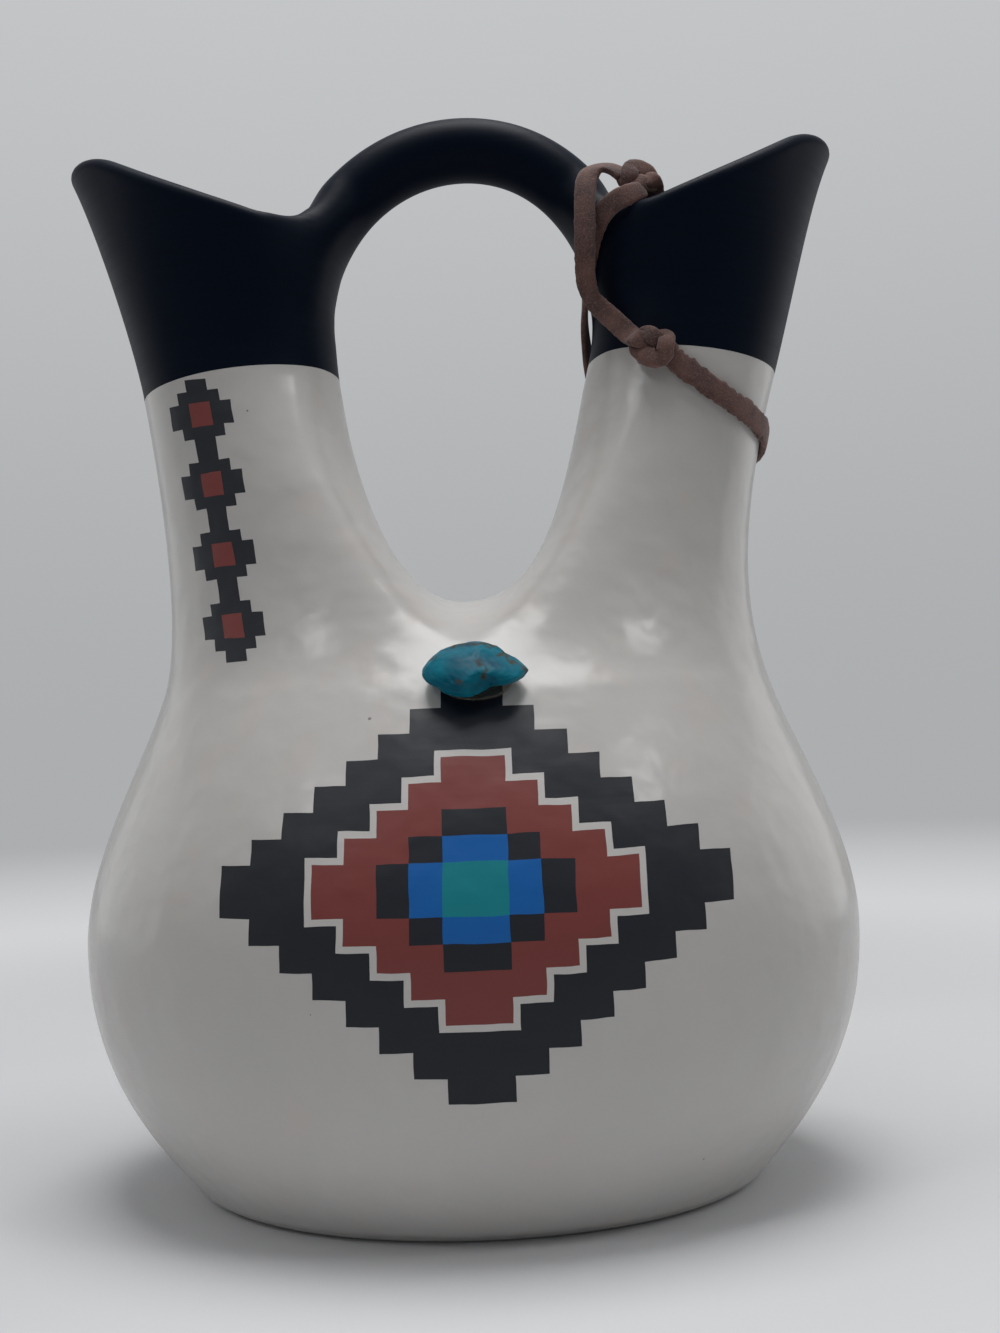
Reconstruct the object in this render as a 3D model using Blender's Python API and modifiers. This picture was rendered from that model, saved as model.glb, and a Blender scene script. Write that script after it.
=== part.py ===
"""A two-spouted wedding vase with an arched handle, a glued stone and a leather lace.

Units are metres, +Z is up, the spouts lie along X and the front faces -Y.
The origin is the middle of the flat face that the vase stands on.
"""

import math
from collections import namedtuple

import bmesh
import bpy
from mathutils import Matrix, Vector, noise
from mathutils.bvhtree import BVHTree

# Foot and belly, half sizes across the spouts (width) and front to back (depth)
FOOT_HALF_WIDTH = 0.0625
FOOT_HALF_DEPTH = 0.0470
FOOT_ROUND = 0.0016
FOOT_FLARE_OUT = 0.0405
FOOT_FLARE_UP = 0.0445
GIRTH_HALF_WIDTH = 0.0878
GIRTH_HALF_DEPTH = 0.0685
GIRTH_HEIGHT = 0.0560
GIRTH_PULL_BELOW = 0.0780
GIRTH_PULL_ABOVE = 0.0590

# Root of the necks: the level where the belly divides, and the saddle between the necks
ROOT_HALF_WIDTH = 0.0705
ROOT_HALF_DEPTH = 0.0445
ROOT_HEIGHT = 0.1113
ROOT_LEAN_WIDTH = -0.29
ROOT_LEAN_DEPTH = -0.75
ROOT_PULL = 0.0455
SADDLE_HEIGHT = 0.1314
SADDLE_PULL = 0.0527
ARCH_PULL_FRONT = 0.0265
ARCH_PULL_TOP = 0.0530
CORNER_ANGLE = math.radians(108)
CORNER_BLEND = math.radians(35)
CORNER_PULL_SHARE = 0.6
CORNER_FILLET = math.radians(70)

# Collar: the section of each neck where the black finish starts
COLLAR_HEIGHT = 0.1846
COLLAR_TILT = math.radians(6.4)
COLLAR_DEPTH_RATIO = 0.9
SPOUT_PULL_SHARE = 0.6
LEFT_COLLAR_REACH = 0.0513
LEFT_COLLAR_HALF_WIDTH = 0.0233
LEFT_LEAN_OUT = math.radians(9.6)
LEFT_LEAN_IN = math.radians(3.6)
LEFT_COLLAR_PULL = 0.0617
RIGHT_COLLAR_REACH = 0.0533
RIGHT_COLLAR_HALF_WIDTH = 0.0222
RIGHT_LEAN_OUT = math.radians(16.2)
RIGHT_LEAN_IN = math.radians(11.8)
RIGHT_COLLAR_PULL = 0.1145

# Pouring rims, with heights above the collar
LEFT_TIP_REACH = 0.0919
RIGHT_TIP_REACH = 0.0921
TIP_RISE = 0.0570
TIP_DROP = 0.0045
TIP_DROP_FROM = 0.8
TIP_LEAN = math.radians(26.9)
LEFT_NOTCH_REACH = 0.0295
RIGHT_NOTCH_REACH = 0.0330
NOTCH_RISE = 0.0322
RIM_RISE_POWER = 1.75
RIM_HALF_DEPTH = 0.0250
RIM_PINCH = 0.25
RIM_FLARE = 0.15
RIM_PULL = 0.0370

# Clay wall, floor and the joints between the clay pieces
WALL = 0.0050
LIP_ROUND = 0.0016
FLOOR_THICKNESS = 0.0075
BOWL_SEAM_HEIGHT = 0.0585
NECK_SEAM_HEIGHT = 0.1490
JOINT_GAP = 0.0003

# Handle, with heights above and below the notch of the rims
HANDLE_RISE = 0.0322
HANDLE_THICKNESS = 0.0149
HANDLE_ROOT_THICKNESS = 0.0120
HANDLE_ROOT_DEPTH = 0.0058
HANDLE_CROWN_SHIFT = 0.0031
HANDLE_ROOT_DROP = 0.0115
HANDLE_CROWN_PULL = 0.0633
HANDLE_SPRING_PULL = 0.0538
HANDLE_TAPER_FROM = 0.45

# Stone and its glue
STONE_LENGTH = 0.0191
STONE_BREADTH = 0.0128
STONE_THICKNESS = 0.0110
STONE_BACK = 0.0030
STONE_SHIFT = 0.0028
STONE_DROP = 0.0016
STONE_UNEVENNESS = 0.22
GLUE_LENGTH = 0.0150
GLUE_BREADTH = 0.0095
GLUE_BED = 0.0010

# Leather lace
LACE_WIDTH = 0.0048
LACE_THICKNESS = 0.0016
LACE_CHAMFER = 0.0004
LACE_SPACING = 0.0040
KNOT_REACH = 0.0052
KNOT_STRAND = 0.0018
KNOT_LEVELS = 0.0015

# Fineness of the surfaces
HALF_SIDES = 20
ARCH_SIDES = 14
BELLY_RINGS = 7
SHOULDER_RINGS = 5
NECK_RINGS = 7
SPOUT_RINGS = 6
HANDLE_STEPS = 12
FILLET_PASSES = 16

Spout = namedtuple("Spout", "sign reach half_width lean_out lean_in pull tip_reach notch_reach")
LEFT = Spout(-1, LEFT_COLLAR_REACH, LEFT_COLLAR_HALF_WIDTH, LEFT_LEAN_OUT, LEFT_LEAN_IN,
             LEFT_COLLAR_PULL, LEFT_TIP_REACH, LEFT_NOTCH_REACH)
RIGHT = Spout(1, RIGHT_COLLAR_REACH, RIGHT_COLLAR_HALF_WIDTH, RIGHT_LEAN_OUT, RIGHT_LEAN_IN,
              RIGHT_COLLAR_PULL, RIGHT_TIP_REACH, RIGHT_NOTCH_REACH)

# The lace's route on the right spout: degrees round the neck (0 outer side, 90 front, 180 saddle side,
# 270 back), height above the collar, and how far it hangs clear of the clay (below zero: inside it).
FRONT_STRAND_ROUTE = [
    (148, 0.0436, -0.0026),
    (157, 0.0466, -0.0004),
    (161, 0.0445, 0.0014),
    (162, 0.0395, 0.0030),
    (162, 0.0335, 0.0034),
    (162, 0.0275, 0.0036),
    (161, 0.0220, 0.0036),
    (155, 0.0170, 0.0026),
    (142, 0.0112, 0.0006),
    (125, 0.0056, 0.0004),
]
FRONT_KNOT_PLACE = (113, 0.0022, 0.0004)
NECK_LOOP_ROUTE = [
    (104, 0.0000, 0.0004),
    (78, -0.0081, 0.0004),
    (50, -0.0141, 0.0004),
    (20, -0.0181, 0.0004),
    (-10, -0.0206, 0.0004),
    (-50, -0.0196, 0.0004),
    (-90, -0.0146, 0.0004),
    (-130, -0.0046, 0.0004),
    (-160, 0.0074, 0.0006),
    (-174, 0.0144, 0.0012),
    (-184, 0.0194, 0.0010),
    (-194, 0.0244, 0.0005),
    (-205, 0.0300, 0.0004),
    (-213, 0.0350, 0.0002),
]
TOP_KNOT_PLACE = (140, 0.0386, -0.0044)
TAIL_ROUTE = [
    (134, 0.0403, -0.0078),
    (129, 0.0375, -0.0086),
    (125, 0.0300, -0.0081),
    (123, 0.0230, -0.0078),
]


def hermite(start, start_pull, end, end_pull, share):
    """The point at a share of the way along a cubic with given ends and end pulls."""
    s2 = share * share
    s3 = s2 * share
    return (
        start * (2 * s3 - 3 * s2 + 1)
        + start_pull * (s3 - 2 * s2 + share)
        + end * (3 * s2 - 2 * s3)
        + end_pull * (s3 - s2)
    )


def ease(value):
    value = min(max(value, 0.0), 1.0)
    return value * value * (3 - 2 * value)


def turn_back(angle):
    """The same angle between minus half a turn and half a turn."""
    return (angle + math.pi) % (2 * math.pi) - math.pi


def belly_section(share):
    """Half width, half depth and height: shares 0 to 1 run from foot to girth, 1 to 2 on to the root."""
    if share <= 1:
        width = hermite(FOOT_HALF_WIDTH, FOOT_FLARE_OUT, GIRTH_HALF_WIDTH, 0.0, share)
        depth = hermite(FOOT_HALF_DEPTH, FOOT_FLARE_OUT, GIRTH_HALF_DEPTH, 0.0, share)
        height = hermite(0.0, FOOT_FLARE_UP, GIRTH_HEIGHT, GIRTH_PULL_BELOW, share)
    else:
        share -= 1
        width = hermite(GIRTH_HALF_WIDTH, 0.0, ROOT_HALF_WIDTH, ROOT_LEAN_WIDTH * ROOT_PULL, share)
        depth = hermite(GIRTH_HALF_DEPTH, 0.0, ROOT_HALF_DEPTH, ROOT_LEAN_DEPTH * ROOT_PULL, share)
        height = hermite(GIRTH_HEIGHT, GIRTH_PULL_ABOVE, ROOT_HEIGHT, ROOT_PULL, share)
    return width, depth, height


def oval(width, depth, height):
    """A level ring of points that starts at the front and runs by the left side to the back."""
    steps = 2 * HALF_SIDES
    turns = [2 * math.pi * i / steps for i in range(steps)]
    return [Vector((-width * math.sin(a), -depth * math.cos(a), height)) for a in turns]


def neck_start(spout, angle):
    """Where a neck's line leaves the belly or the saddle, and the direction that it leaves in."""
    front = -1 if angle >= 0 else 1
    turn = abs(angle)
    blend = ease((turn - CORNER_ANGLE + CORNER_BLEND) / (2 * CORNER_BLEND))
    if turn <= CORNER_ANGLE:
        around = turn / CORNER_ANGLE * math.pi / 2
        across = spout.sign * math.cos(around)
        along = front * math.sin(around)
        place = Vector((ROOT_HALF_WIDTH * across, ROOT_HALF_DEPTH * along, ROOT_HEIGHT))
        up = Vector((ROOT_LEAN_WIDTH * across, ROOT_LEAN_DEPTH * along, 1)) * ROOT_PULL
        inner_share = CORNER_PULL_SHARE
    else:
        share = (turn - CORNER_ANGLE) / (math.pi - CORNER_ANGLE)
        depth = hermite(ROOT_HALF_DEPTH, ROOT_LEAN_DEPTH * ARCH_PULL_FRONT, 0.0, -ARCH_PULL_TOP, share)
        height = hermite(ROOT_HEIGHT, ARCH_PULL_FRONT, SADDLE_HEIGHT, 0.0, share)
        place = Vector((0, front * depth, height))
        up = Vector((0, front * ROOT_LEAN_DEPTH, 1)) * ROOT_PULL
        inner_share = CORNER_PULL_SHARE + (1 - CORNER_PULL_SHARE) * ease(share)
    sideways = Vector((spout.sign * SADDLE_PULL * inner_share, 0, 0))
    return place, up.lerp(sideways, blend)


def collar(spout, angle):
    """The point of the collar's ring at an angle, and the direction of the neck there."""
    outward = Vector((spout.sign * math.cos(COLLAR_TILT), 0, -math.sin(COLLAR_TILT)))
    place = Vector((spout.sign * spout.reach, 0, COLLAR_HEIGHT))
    place += outward * (spout.half_width * math.cos(angle))
    place.y -= spout.half_width * COLLAR_DEPTH_RATIO * math.sin(angle)
    share = (1 + math.cos(angle)) / 2
    lean = spout.lean_in + (spout.lean_out - spout.lean_in) * share
    return place, Vector((spout.sign * math.sin(lean), 0, math.cos(lean))) * spout.pull


def rim(spout, angle):
    """The point of the pinched rim at an angle, and the direction of the wall there."""
    share = (1 + math.cos(angle)) / 2
    drop = max(0.0, (share - TIP_DROP_FROM) / (1 - TIP_DROP_FROM))
    reach = spout.notch_reach + (spout.tip_reach - spout.notch_reach) * share
    depth = RIM_HALF_DEPTH * math.sin(angle) * (1 - RIM_PINCH * math.cos(angle))
    rise = NOTCH_RISE + (TIP_RISE - NOTCH_RISE) * share ** RIM_RISE_POWER - TIP_DROP * drop * drop
    lean = TIP_LEAN * share
    wall = Vector((spout.sign * math.sin(lean), -RIM_FLARE * math.sin(angle), math.cos(lean)))
    return Vector((spout.sign * reach, -depth, COLLAR_HEIGHT + rise)), wall * RIM_PULL


def spout_point(spout, angle, level):
    """The outer surface: level 0 is the neck's root, 1 the collar and 2 the rim."""
    angle = turn_back(angle)
    middle, middle_pull = collar(spout, angle)
    if level <= 1:
        start, start_pull = neck_start(spout, angle)
        return hermite(start, start_pull, middle, middle_pull, level)
    end, end_pull = rim(spout, angle)
    return hermite(middle, middle_pull * SPOUT_PULL_SHARE, end, end_pull, level - 1)


def spout_at_height(spout, angle, height):
    """The outer surface's point at an angle and a height, or above the rim, and its outward normal."""
    low, high = 0.0, 2.0
    for _ in range(40):
        level = (low + high) / 2
        if spout_point(spout, angle, level).z < height:
            low = level
        else:
            high = level
    step = 0.01
    here = spout_point(spout, angle, low)
    upward = here - spout_point(spout, angle, low - step)
    around = spout_point(spout, angle + step, low) - spout_point(spout, angle - step, low)
    here.z = height
    return here, (upward.cross(around) * spout.sign).normalized()


def ring_angles(spout):
    """Angles of a neck's ring, in the belly ring's sense: the outer half first, then the saddle's arch."""
    corner = CORNER_ANGLE * -spout.sign
    outer = [corner * (1 - 2 * i / HALF_SIDES) for i in range(HALF_SIDES + 1)]
    rest = 2 * (math.pi - CORNER_ANGLE) * -spout.sign
    inner = [-corner - rest * i / ARCH_SIDES for i in range(1, ARCH_SIDES)]
    return outer, inner


def add_band(mesh, lower, upper):
    """Quads between two rings of vertices, facing out."""
    count = len(lower)
    for i in range(count):
        j = (i + 1) % count
        mesh.faces.new((lower[i], upper[i], upper[j], lower[j]))


def add_ring(mesh, points):
    return [mesh.verts.new(point) for point in points]


def fillet_weight(angle, level):
    """How much a vertex takes part in rounding the corners where a neck turns to the saddle."""
    off_corner = abs(abs(turn_back(angle)) - CORNER_ANGLE) / CORNER_FILLET
    return (1 - ease(off_corner)) * (1 - ease(level))


def round_corners(weights):
    """Draws each weighted vertex to the mean of its neighbours, in several passes."""
    for _ in range(FILLET_PASSES):
        moved = []
        for vertex, weight in weights.items():
            ring = [edge.other_vert(vertex).co for edge in vertex.link_edges]
            mean = sum(ring, Vector()) / len(ring)
            moved.append((vertex, vertex.co.lerp(mean, weight / 2)))
        for vertex, place in moved:
            vertex.co = place


def vase_skin(name, closed):
    """The vase's outer surface, open at the foot and the rims, or closed there for a solid core."""
    mesh = bmesh.new()
    foot_width, foot_depth, _ = belly_section(0)
    below = oval(foot_width - FOOT_ROUND, foot_depth - FOOT_ROUND, 0.0)
    rings = [add_ring(mesh, below)]
    for i in range(BELLY_RINGS):
        width, depth, height = belly_section(i / BELLY_RINGS)
        rings.append(add_ring(mesh, oval(width, depth, max(height, FOOT_ROUND * (1 - i)))))
    for i in range(SHOULDER_RINGS + 1):
        rings.append(add_ring(mesh, oval(*belly_section(1 + i / SHOULDER_RINGS))))
    for lower, upper in zip(rings, rings[1:]):
        add_band(mesh, lower, upper)
    root = rings[-1]
    arch = None
    ends = []
    weights = {}
    for spout in (LEFT, RIGHT):
        outer, inner = ring_angles(spout)
        first = root[:HALF_SIDES + 1] if spout is LEFT else root[HALF_SIDES:] + root[:1]
        if arch is None:
            arch = add_ring(mesh, [spout_point(spout, a, 0) for a in inner])
            lower = first + arch
        else:
            lower = first + arch[::-1]
        for vertex, angle in zip(lower, outer + inner):
            weights[vertex] = fillet_weight(angle, 0)
        levels = [(i + 1) / NECK_RINGS for i in range(NECK_RINGS)]
        levels += [1 + (i + 1) / SPOUT_RINGS for i in range(SPOUT_RINGS)]
        for level in levels:
            upper = add_ring(mesh, [spout_point(spout, a, level) for a in outer + inner])
            add_band(mesh, lower, upper)
            lower = upper
            for vertex, angle in zip(upper, outer + inner):
                weights[vertex] = fillet_weight(angle, level)
        ends.append(lower)
    round_corners(weights)
    if closed:
        mesh.faces.new(rings[0])
        for end in ends:
            middle = mesh.verts.new(sum((v.co for v in end), Vector()) / len(end))
            for i, vertex in enumerate(end):
                mesh.faces.new((vertex, middle, end[(i + 1) % len(end)]))
    return finish_mesh(mesh, name)


def finish_mesh(mesh, name):
    data = bpy.data.meshes.new(name)
    mesh.to_mesh(data)
    mesh.free()
    data.shade_smooth()
    return data


def add_object(name, data, collection, material=None):
    made = bpy.data.objects.new(name, data)
    collection.objects.link(made)
    if material:
        data.materials.append(material)
    return made


def finish(name, colour, roughness):
    made = bpy.data.materials.new(name)
    made.use_nodes = True
    shader = made.node_tree.nodes["Principled BSDF"]
    shader.inputs["Base Color"].default_value = (*colour, 1)
    shader.inputs["Roughness"].default_value = roughness
    shader.inputs["Metallic"].default_value = 0.0
    return made


def as_cutter(made):
    made.hide_render = True
    made.display_type = "WIRE"
    return made


def slab(name, low, high, collection):
    """A box-shaped cutter between two corners."""
    mesh = bmesh.new()
    bmesh.ops.create_cube(mesh, size=1)
    low, high = Vector(low), Vector(high)
    bmesh.ops.scale(mesh, vec=high - low, verts=mesh.verts)
    bmesh.ops.translate(mesh, vec=(low + high) / 2, verts=mesh.verts)
    return as_cutter(add_object(name, finish_mesh(mesh, name), collection))


def boolean(made, cutter, operation):
    cut = made.modifiers.new(cutter.name, "BOOLEAN")
    cut.operation = operation
    cut.object = cutter
    cut.solver = "EXACT"


def clay_wall(name, skin, region, collection, material, lip=False):
    """A piece of the vase's wall: the skin made thick, and cut off where the next piece starts."""
    made = add_object(name, skin.copy(), collection, material)
    thick = made.modifiers.new("wall", "SOLIDIFY")
    thick.thickness = WALL
    thick.offset = -1
    if lip:
        edge = made.modifiers.new("lip", "BEVEL")
        edge.width = LIP_ROUND
        edge.segments = 2
        edge.limit_method = "ANGLE"
        edge.angle_limit = math.radians(60)
    boolean(made, region, "INTERSECT")
    return made


def handle_line(spout, share):
    """The handle's middle line from the crown, at share 0, down to a spout's inner rim, at share 1."""
    notch = COLLAR_HEIGHT + NOTCH_RISE
    crown = Vector((HANDLE_CROWN_SHIFT, 0, notch + HANDLE_RISE - HANDLE_THICKNESS / 2))
    reach = spout.notch_reach + HANDLE_ROOT_DEPTH
    spring = Vector((spout.sign * reach, 0, notch - HANDLE_ROOT_DROP))
    crown_pull = Vector((spout.sign * HANDLE_CROWN_PULL, 0, 0))
    spring_pull = Vector((0, 0, -HANDLE_SPRING_PULL))
    return hermite(crown, crown_pull, spring, spring_pull, share)


def handle_mesh():
    """A round bar along the arch, thinner where it runs down into the rims."""
    left = [(LEFT, i / HANDLE_STEPS) for i in range(HANDLE_STEPS, 0, -1)]
    right = [(RIGHT, i / HANDLE_STEPS) for i in range(HANDLE_STEPS + 1)]
    curve = bpy.data.curves.new("handle_line", "CURVE")
    curve.dimensions = "3D"
    curve.bevel_depth = HANDLE_THICKNESS / 2
    curve.bevel_resolution = 5
    curve.use_fill_caps = True
    spline = curve.splines.new("POLY")
    spline.points.add(len(left + right) - 1)
    root_share = HANDLE_ROOT_THICKNESS / HANDLE_THICKNESS
    for point, (spout, share) in zip(spline.points, left + right):
        point.co = (*handle_line(spout, share), 1)
        taper = ease((share - HANDLE_TAPER_FROM) / (1 - HANDLE_TAPER_FROM))
        point.radius = 1 - (1 - root_share) * taper
    return curve_to_mesh(curve, "handle")


def curve_to_mesh(curve, name):
    """A curve's tube as a mesh with its caps welded on."""
    guide = bpy.data.objects.new(name + "_guide", curve)
    bpy.context.scene.collection.objects.link(guide)
    seen = guide.evaluated_get(bpy.context.evaluated_depsgraph_get())
    data = bpy.data.meshes.new_from_object(seen)
    bpy.data.objects.remove(guide)
    bpy.data.curves.remove(curve)
    mesh = bmesh.new()
    mesh.from_mesh(data)
    bpy.data.meshes.remove(data)
    bmesh.ops.remove_doubles(mesh, verts=mesh.verts, dist=0.00001)
    bmesh.ops.recalc_face_normals(mesh, faces=mesh.faces)
    return finish_mesh(mesh, name)


def stone_frame(core, far):
    """The wall's frame under the stone: X across, Z straight out of the wall."""
    wall = BVHTree.FromPolygons([v.co for v in core.vertices], [p.vertices for p in core.polygons])
    ahead = Vector((0, 1, 0))
    place, out, _, _ = wall.ray_cast(Vector((STONE_SHIFT, -far, ROOT_HEIGHT - STONE_DROP)), ahead)
    across = Vector((1, 0, 0))
    out = (out - across * out.x).normalized()
    frame = Matrix((across, out.cross(across), out)).transposed().to_4x4()
    frame.translation = place
    return frame


def stone_mesh():
    """A rough-polished nugget with a flat back."""
    mesh = bmesh.new()
    bmesh.ops.create_icosphere(mesh, subdivisions=3, radius=0.5)
    for vertex in mesh.verts:
        swell = noise.noise(vertex.co * 2.1 + Vector((3.7, 1.3, 8.1)))
        vertex.co *= 1 + STONE_UNEVENNESS * swell
    size = Vector((STONE_LENGTH, STONE_BREADTH, STONE_THICKNESS))
    bmesh.ops.scale(mesh, vec=size, verts=mesh.verts)
    cut = bmesh.ops.bisect_plane(
        mesh,
        geom=mesh.verts[:] + mesh.edges[:] + mesh.faces[:],
        plane_co=(0, 0, -STONE_BACK),
        plane_no=(0, 0, -1),
        clear_outer=True,
    )
    edges = [item for item in cut["geom_cut"] if isinstance(item, bmesh.types.BMEdge)]
    bmesh.ops.contextual_create(mesh, geom=edges)
    bmesh.ops.recalc_face_normals(mesh, faces=mesh.faces)
    return finish_mesh(mesh, "turquoise_nugget")


def glue_mesh():
    """An oval pad, deep enough to reach into the wall that it is then cut by."""
    mesh = bmesh.new()
    bmesh.ops.create_cone(mesh, cap_ends=True, segments=28, radius1=0.5, radius2=0.5, depth=1)
    size = Vector((GLUE_LENGTH, GLUE_BREADTH, GLUE_BED + WALL / 2))
    bmesh.ops.scale(mesh, vec=size, verts=mesh.verts)
    bmesh.ops.translate(mesh, vec=(0, 0, GLUE_BED - size.z / 2), verts=mesh.verts)
    return finish_mesh(mesh, "stone_glue")


def lace_point(place):
    """A point of the lace's middle line on the right spout, and the direction that its flat side faces."""
    degrees, rise, clear = place
    point, out = spout_at_height(RIGHT, math.radians(degrees), COLLAR_HEIGHT + rise)
    return point + out * (JOINT_GAP + LACE_THICKNESS / 2 + clear), out


def smooth_route(route):
    """Stations along a smooth curve through a route's own places, about one spacing apart."""
    padded = [route[0]] + route + [route[-1]]
    stations = []
    for a, b, c, d in zip(padded, padded[1:], padded[2:], padded[3:]):
        length = (lace_point(c)[0] - lace_point(b)[0]).length
        steps = max(1, round(length / LACE_SPACING))
        a, b, c, d = (Vector(item) for item in (a, b, c, d))
        stations += [hermite(b, (c - a) / 2, c, (d - b) / 2, i / steps) for i in range(steps)]
    return [lace_point(station) for station in stations] + [lace_point(route[-1])]


def lace_mesh(name, stations):
    """A flat strip with broken edges that faces the way its stations say."""
    half = LACE_WIDTH / 2
    thick = LACE_THICKNESS / 2
    flat = half - LACE_CHAMFER
    side = thick - LACE_CHAMFER
    outline = [(flat, thick), (half, side), (half, -side), (flat, -thick)]
    outline += [(-x, -y) for x, y in outline]
    mesh = bmesh.new()
    rings = []
    for i, (point, out) in enumerate(stations):
        ahead = stations[min(i + 1, len(stations) - 1)][0] - stations[max(i - 1, 0)][0]
        across = ahead.cross(out).normalized()
        facing = across.cross(ahead).normalized()
        rings.append(add_ring(mesh, [point + across * x + facing * y for x, y in outline]))
    for lower, upper in zip(rings, rings[1:]):
        add_band(mesh, lower, upper)
    mesh.faces.new(rings[0])
    mesh.faces.new(rings[-1])
    bmesh.ops.recalc_face_normals(mesh, faces=mesh.faces)
    return finish_mesh(mesh, name)


def knot_mesh(name, place):
    """An overhand knot: a round strand whose line passes three times over and under itself."""
    point, out = lace_point(place)
    upward = (Vector((0, 0, 1)) - out * out.z).normalized()
    across = upward.cross(out)
    curve = bpy.data.curves.new(name + "_line", "CURVE")
    curve.dimensions = "3D"
    curve.bevel_depth = KNOT_STRAND / 2
    curve.bevel_resolution = 1
    spline = curve.splines.new("POLY")
    steps = 36
    spline.points.add(steps - 1)
    spline.use_cyclic_u = True
    scale = (KNOT_REACH - KNOT_STRAND / 2) / 3
    lift = KNOT_LEVELS + KNOT_STRAND / 2 - LACE_THICKNESS / 2
    for i, item in enumerate(spline.points):
        turn = 2 * math.pi * i / steps
        x = scale * (math.sin(turn) + 2 * math.sin(2 * turn))
        y = scale * (math.cos(turn) - 2 * math.cos(2 * turn))
        z = lift - KNOT_LEVELS * math.sin(3 * turn)
        item.co = (*(point + across * x + upward * y + out * z), 1)
    return curve_to_mesh(curve, name)


def build():
    for old in list(bpy.data.objects):
        bpy.data.objects.remove(old)
    vase = bpy.data.collections.new("wedding_vase")
    cutters = bpy.data.collections.new("cutters")
    bpy.context.scene.collection.children.link(vase)
    bpy.context.scene.collection.children.link(cutters)

    white = finish("white_slip", (0.62, 0.60, 0.57), 0.42)
    black = finish("black_slip", (0.012, 0.016, 0.026), 0.38)
    turquoise = finish("turquoise", (0.02, 0.20, 0.27), 0.30)
    glue = finish("clear_glue", (0.55, 0.52, 0.42), 0.35)
    leather = finish("brown_leather", (0.12, 0.06, 0.045), 0.75)

    far = 2 * (COLLAR_HEIGHT + TIP_RISE + HANDLE_RISE + GIRTH_HALF_WIDTH)
    half_gap = JOINT_GAP / 2
    base_region = slab("base_region", (-far, -far, -far), (far, far, FLOOR_THICKNESS), cutters)
    bowl_region = slab("bowl_region", (-far, -far, FLOOR_THICKNESS + JOINT_GAP),
                       (far, far, BOWL_SEAM_HEIGHT - half_gap), cutters)
    shoulder_region = slab("shoulder_region", (-far, -far, BOWL_SEAM_HEIGHT + half_gap),
                           (far, far, NECK_SEAM_HEIGHT - half_gap), cutters)
    left_region = slab("left_region", (-far, -far, NECK_SEAM_HEIGHT + half_gap), (0, far, far), cutters)
    right_region = slab("right_region", (0, -far, NECK_SEAM_HEIGHT + half_gap), (far, far, far), cutters)

    skin = vase_skin("vase_skin", closed=False)
    core = vase_skin("vase_core", closed=True)
    clearance = as_cutter(add_object("clearance", core.copy(), cutters))
    swell = clearance.modifiers.new("gap", "DISPLACE")
    swell.strength = JOINT_GAP
    swell.mid_level = 0

    base = add_object("base", core, vase, white)
    boolean(base, base_region, "INTERSECT")
    clay_wall("bowl", skin, bowl_region, vase, white)
    clay_wall("shoulder", skin, shoulder_region, vase, white)
    clay_wall("left_spout", skin, left_region, vase, black, lip=True)
    clay_wall("right_spout", skin, right_region, vase, black, lip=True)
    handle = add_object("handle", handle_mesh(), vase, black)
    boolean(handle, clearance, "DIFFERENCE")

    frame = stone_frame(core, far)
    pad = add_object("stone_glue", glue_mesh(), vase, glue)
    pad.matrix_world = frame
    boolean(pad, clearance, "DIFFERENCE")
    stone = add_object("turquoise_nugget", stone_mesh(), vase, turquoise)
    stone.matrix_world = frame @ Matrix.Translation((0, 0, GLUE_BED + JOINT_GAP + STONE_BACK))

    strands = [("lace_front_strand", FRONT_STRAND_ROUTE), ("lace_neck_loop", NECK_LOOP_ROUTE),
               ("lace_tail", TAIL_ROUTE)]
    for name, route in strands:
        add_object(name, lace_mesh(name, smooth_route(route)), vase, leather)
    for name, place in [("lace_front_knot", FRONT_KNOT_PLACE), ("lace_top_knot", TOP_KNOT_PLACE)]:
        add_object(name, knot_mesh(name, place), vase, leather)


build()
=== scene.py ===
# %% [markdown]
# # A painted wedding vase
# A wedding vase is a hand-built pot with two spouts, joined by an arched handle. This one has a
# white slip body, satin black spouts and handle, a turquoise nugget glued under the saddle and a
# leather lace tied round one neck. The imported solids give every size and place. This lesson dresses
# them: one smooth painted skin for all the clay, a lace with real knots, and a stone with its
# matrix.

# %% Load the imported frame
import math

import bmesh
import bpy
import numpy as np
from mathutils import Matrix, Vector, kdtree, noise
from mathutils.bvhtree import BVHTree


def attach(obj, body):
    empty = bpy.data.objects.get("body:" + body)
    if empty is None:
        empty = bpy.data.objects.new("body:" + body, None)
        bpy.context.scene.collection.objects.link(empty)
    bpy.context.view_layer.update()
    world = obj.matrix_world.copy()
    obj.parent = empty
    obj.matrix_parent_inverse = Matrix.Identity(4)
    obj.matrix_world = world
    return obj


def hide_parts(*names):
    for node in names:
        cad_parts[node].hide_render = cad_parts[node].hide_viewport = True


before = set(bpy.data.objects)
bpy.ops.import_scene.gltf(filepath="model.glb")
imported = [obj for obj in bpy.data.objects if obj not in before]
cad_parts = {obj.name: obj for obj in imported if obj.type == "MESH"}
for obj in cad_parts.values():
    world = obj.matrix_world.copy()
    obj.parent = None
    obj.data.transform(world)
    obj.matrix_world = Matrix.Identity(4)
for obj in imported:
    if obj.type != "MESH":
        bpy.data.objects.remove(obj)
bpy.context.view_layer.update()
MM = 0.001

# %% [markdown]
# ## The camera
# The picture is 1000 by 1333 pixels. A fit of the vase's outline gave the eye's place, a focal
# length in pixels, a slight upward tilt and a slight roll, as of a phone held by hand. Blender's
# lens follows from the focal length: sensor width times focal pixels over picture width.

# %% Place the camera
PICTURE_WIDTH_PX = 1000
FOCAL_PX = 1350
EYE_MM = (7.9, -318.0, 94.2)
TILT_UP = 0.0686
ROLL = 0.0345


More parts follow.
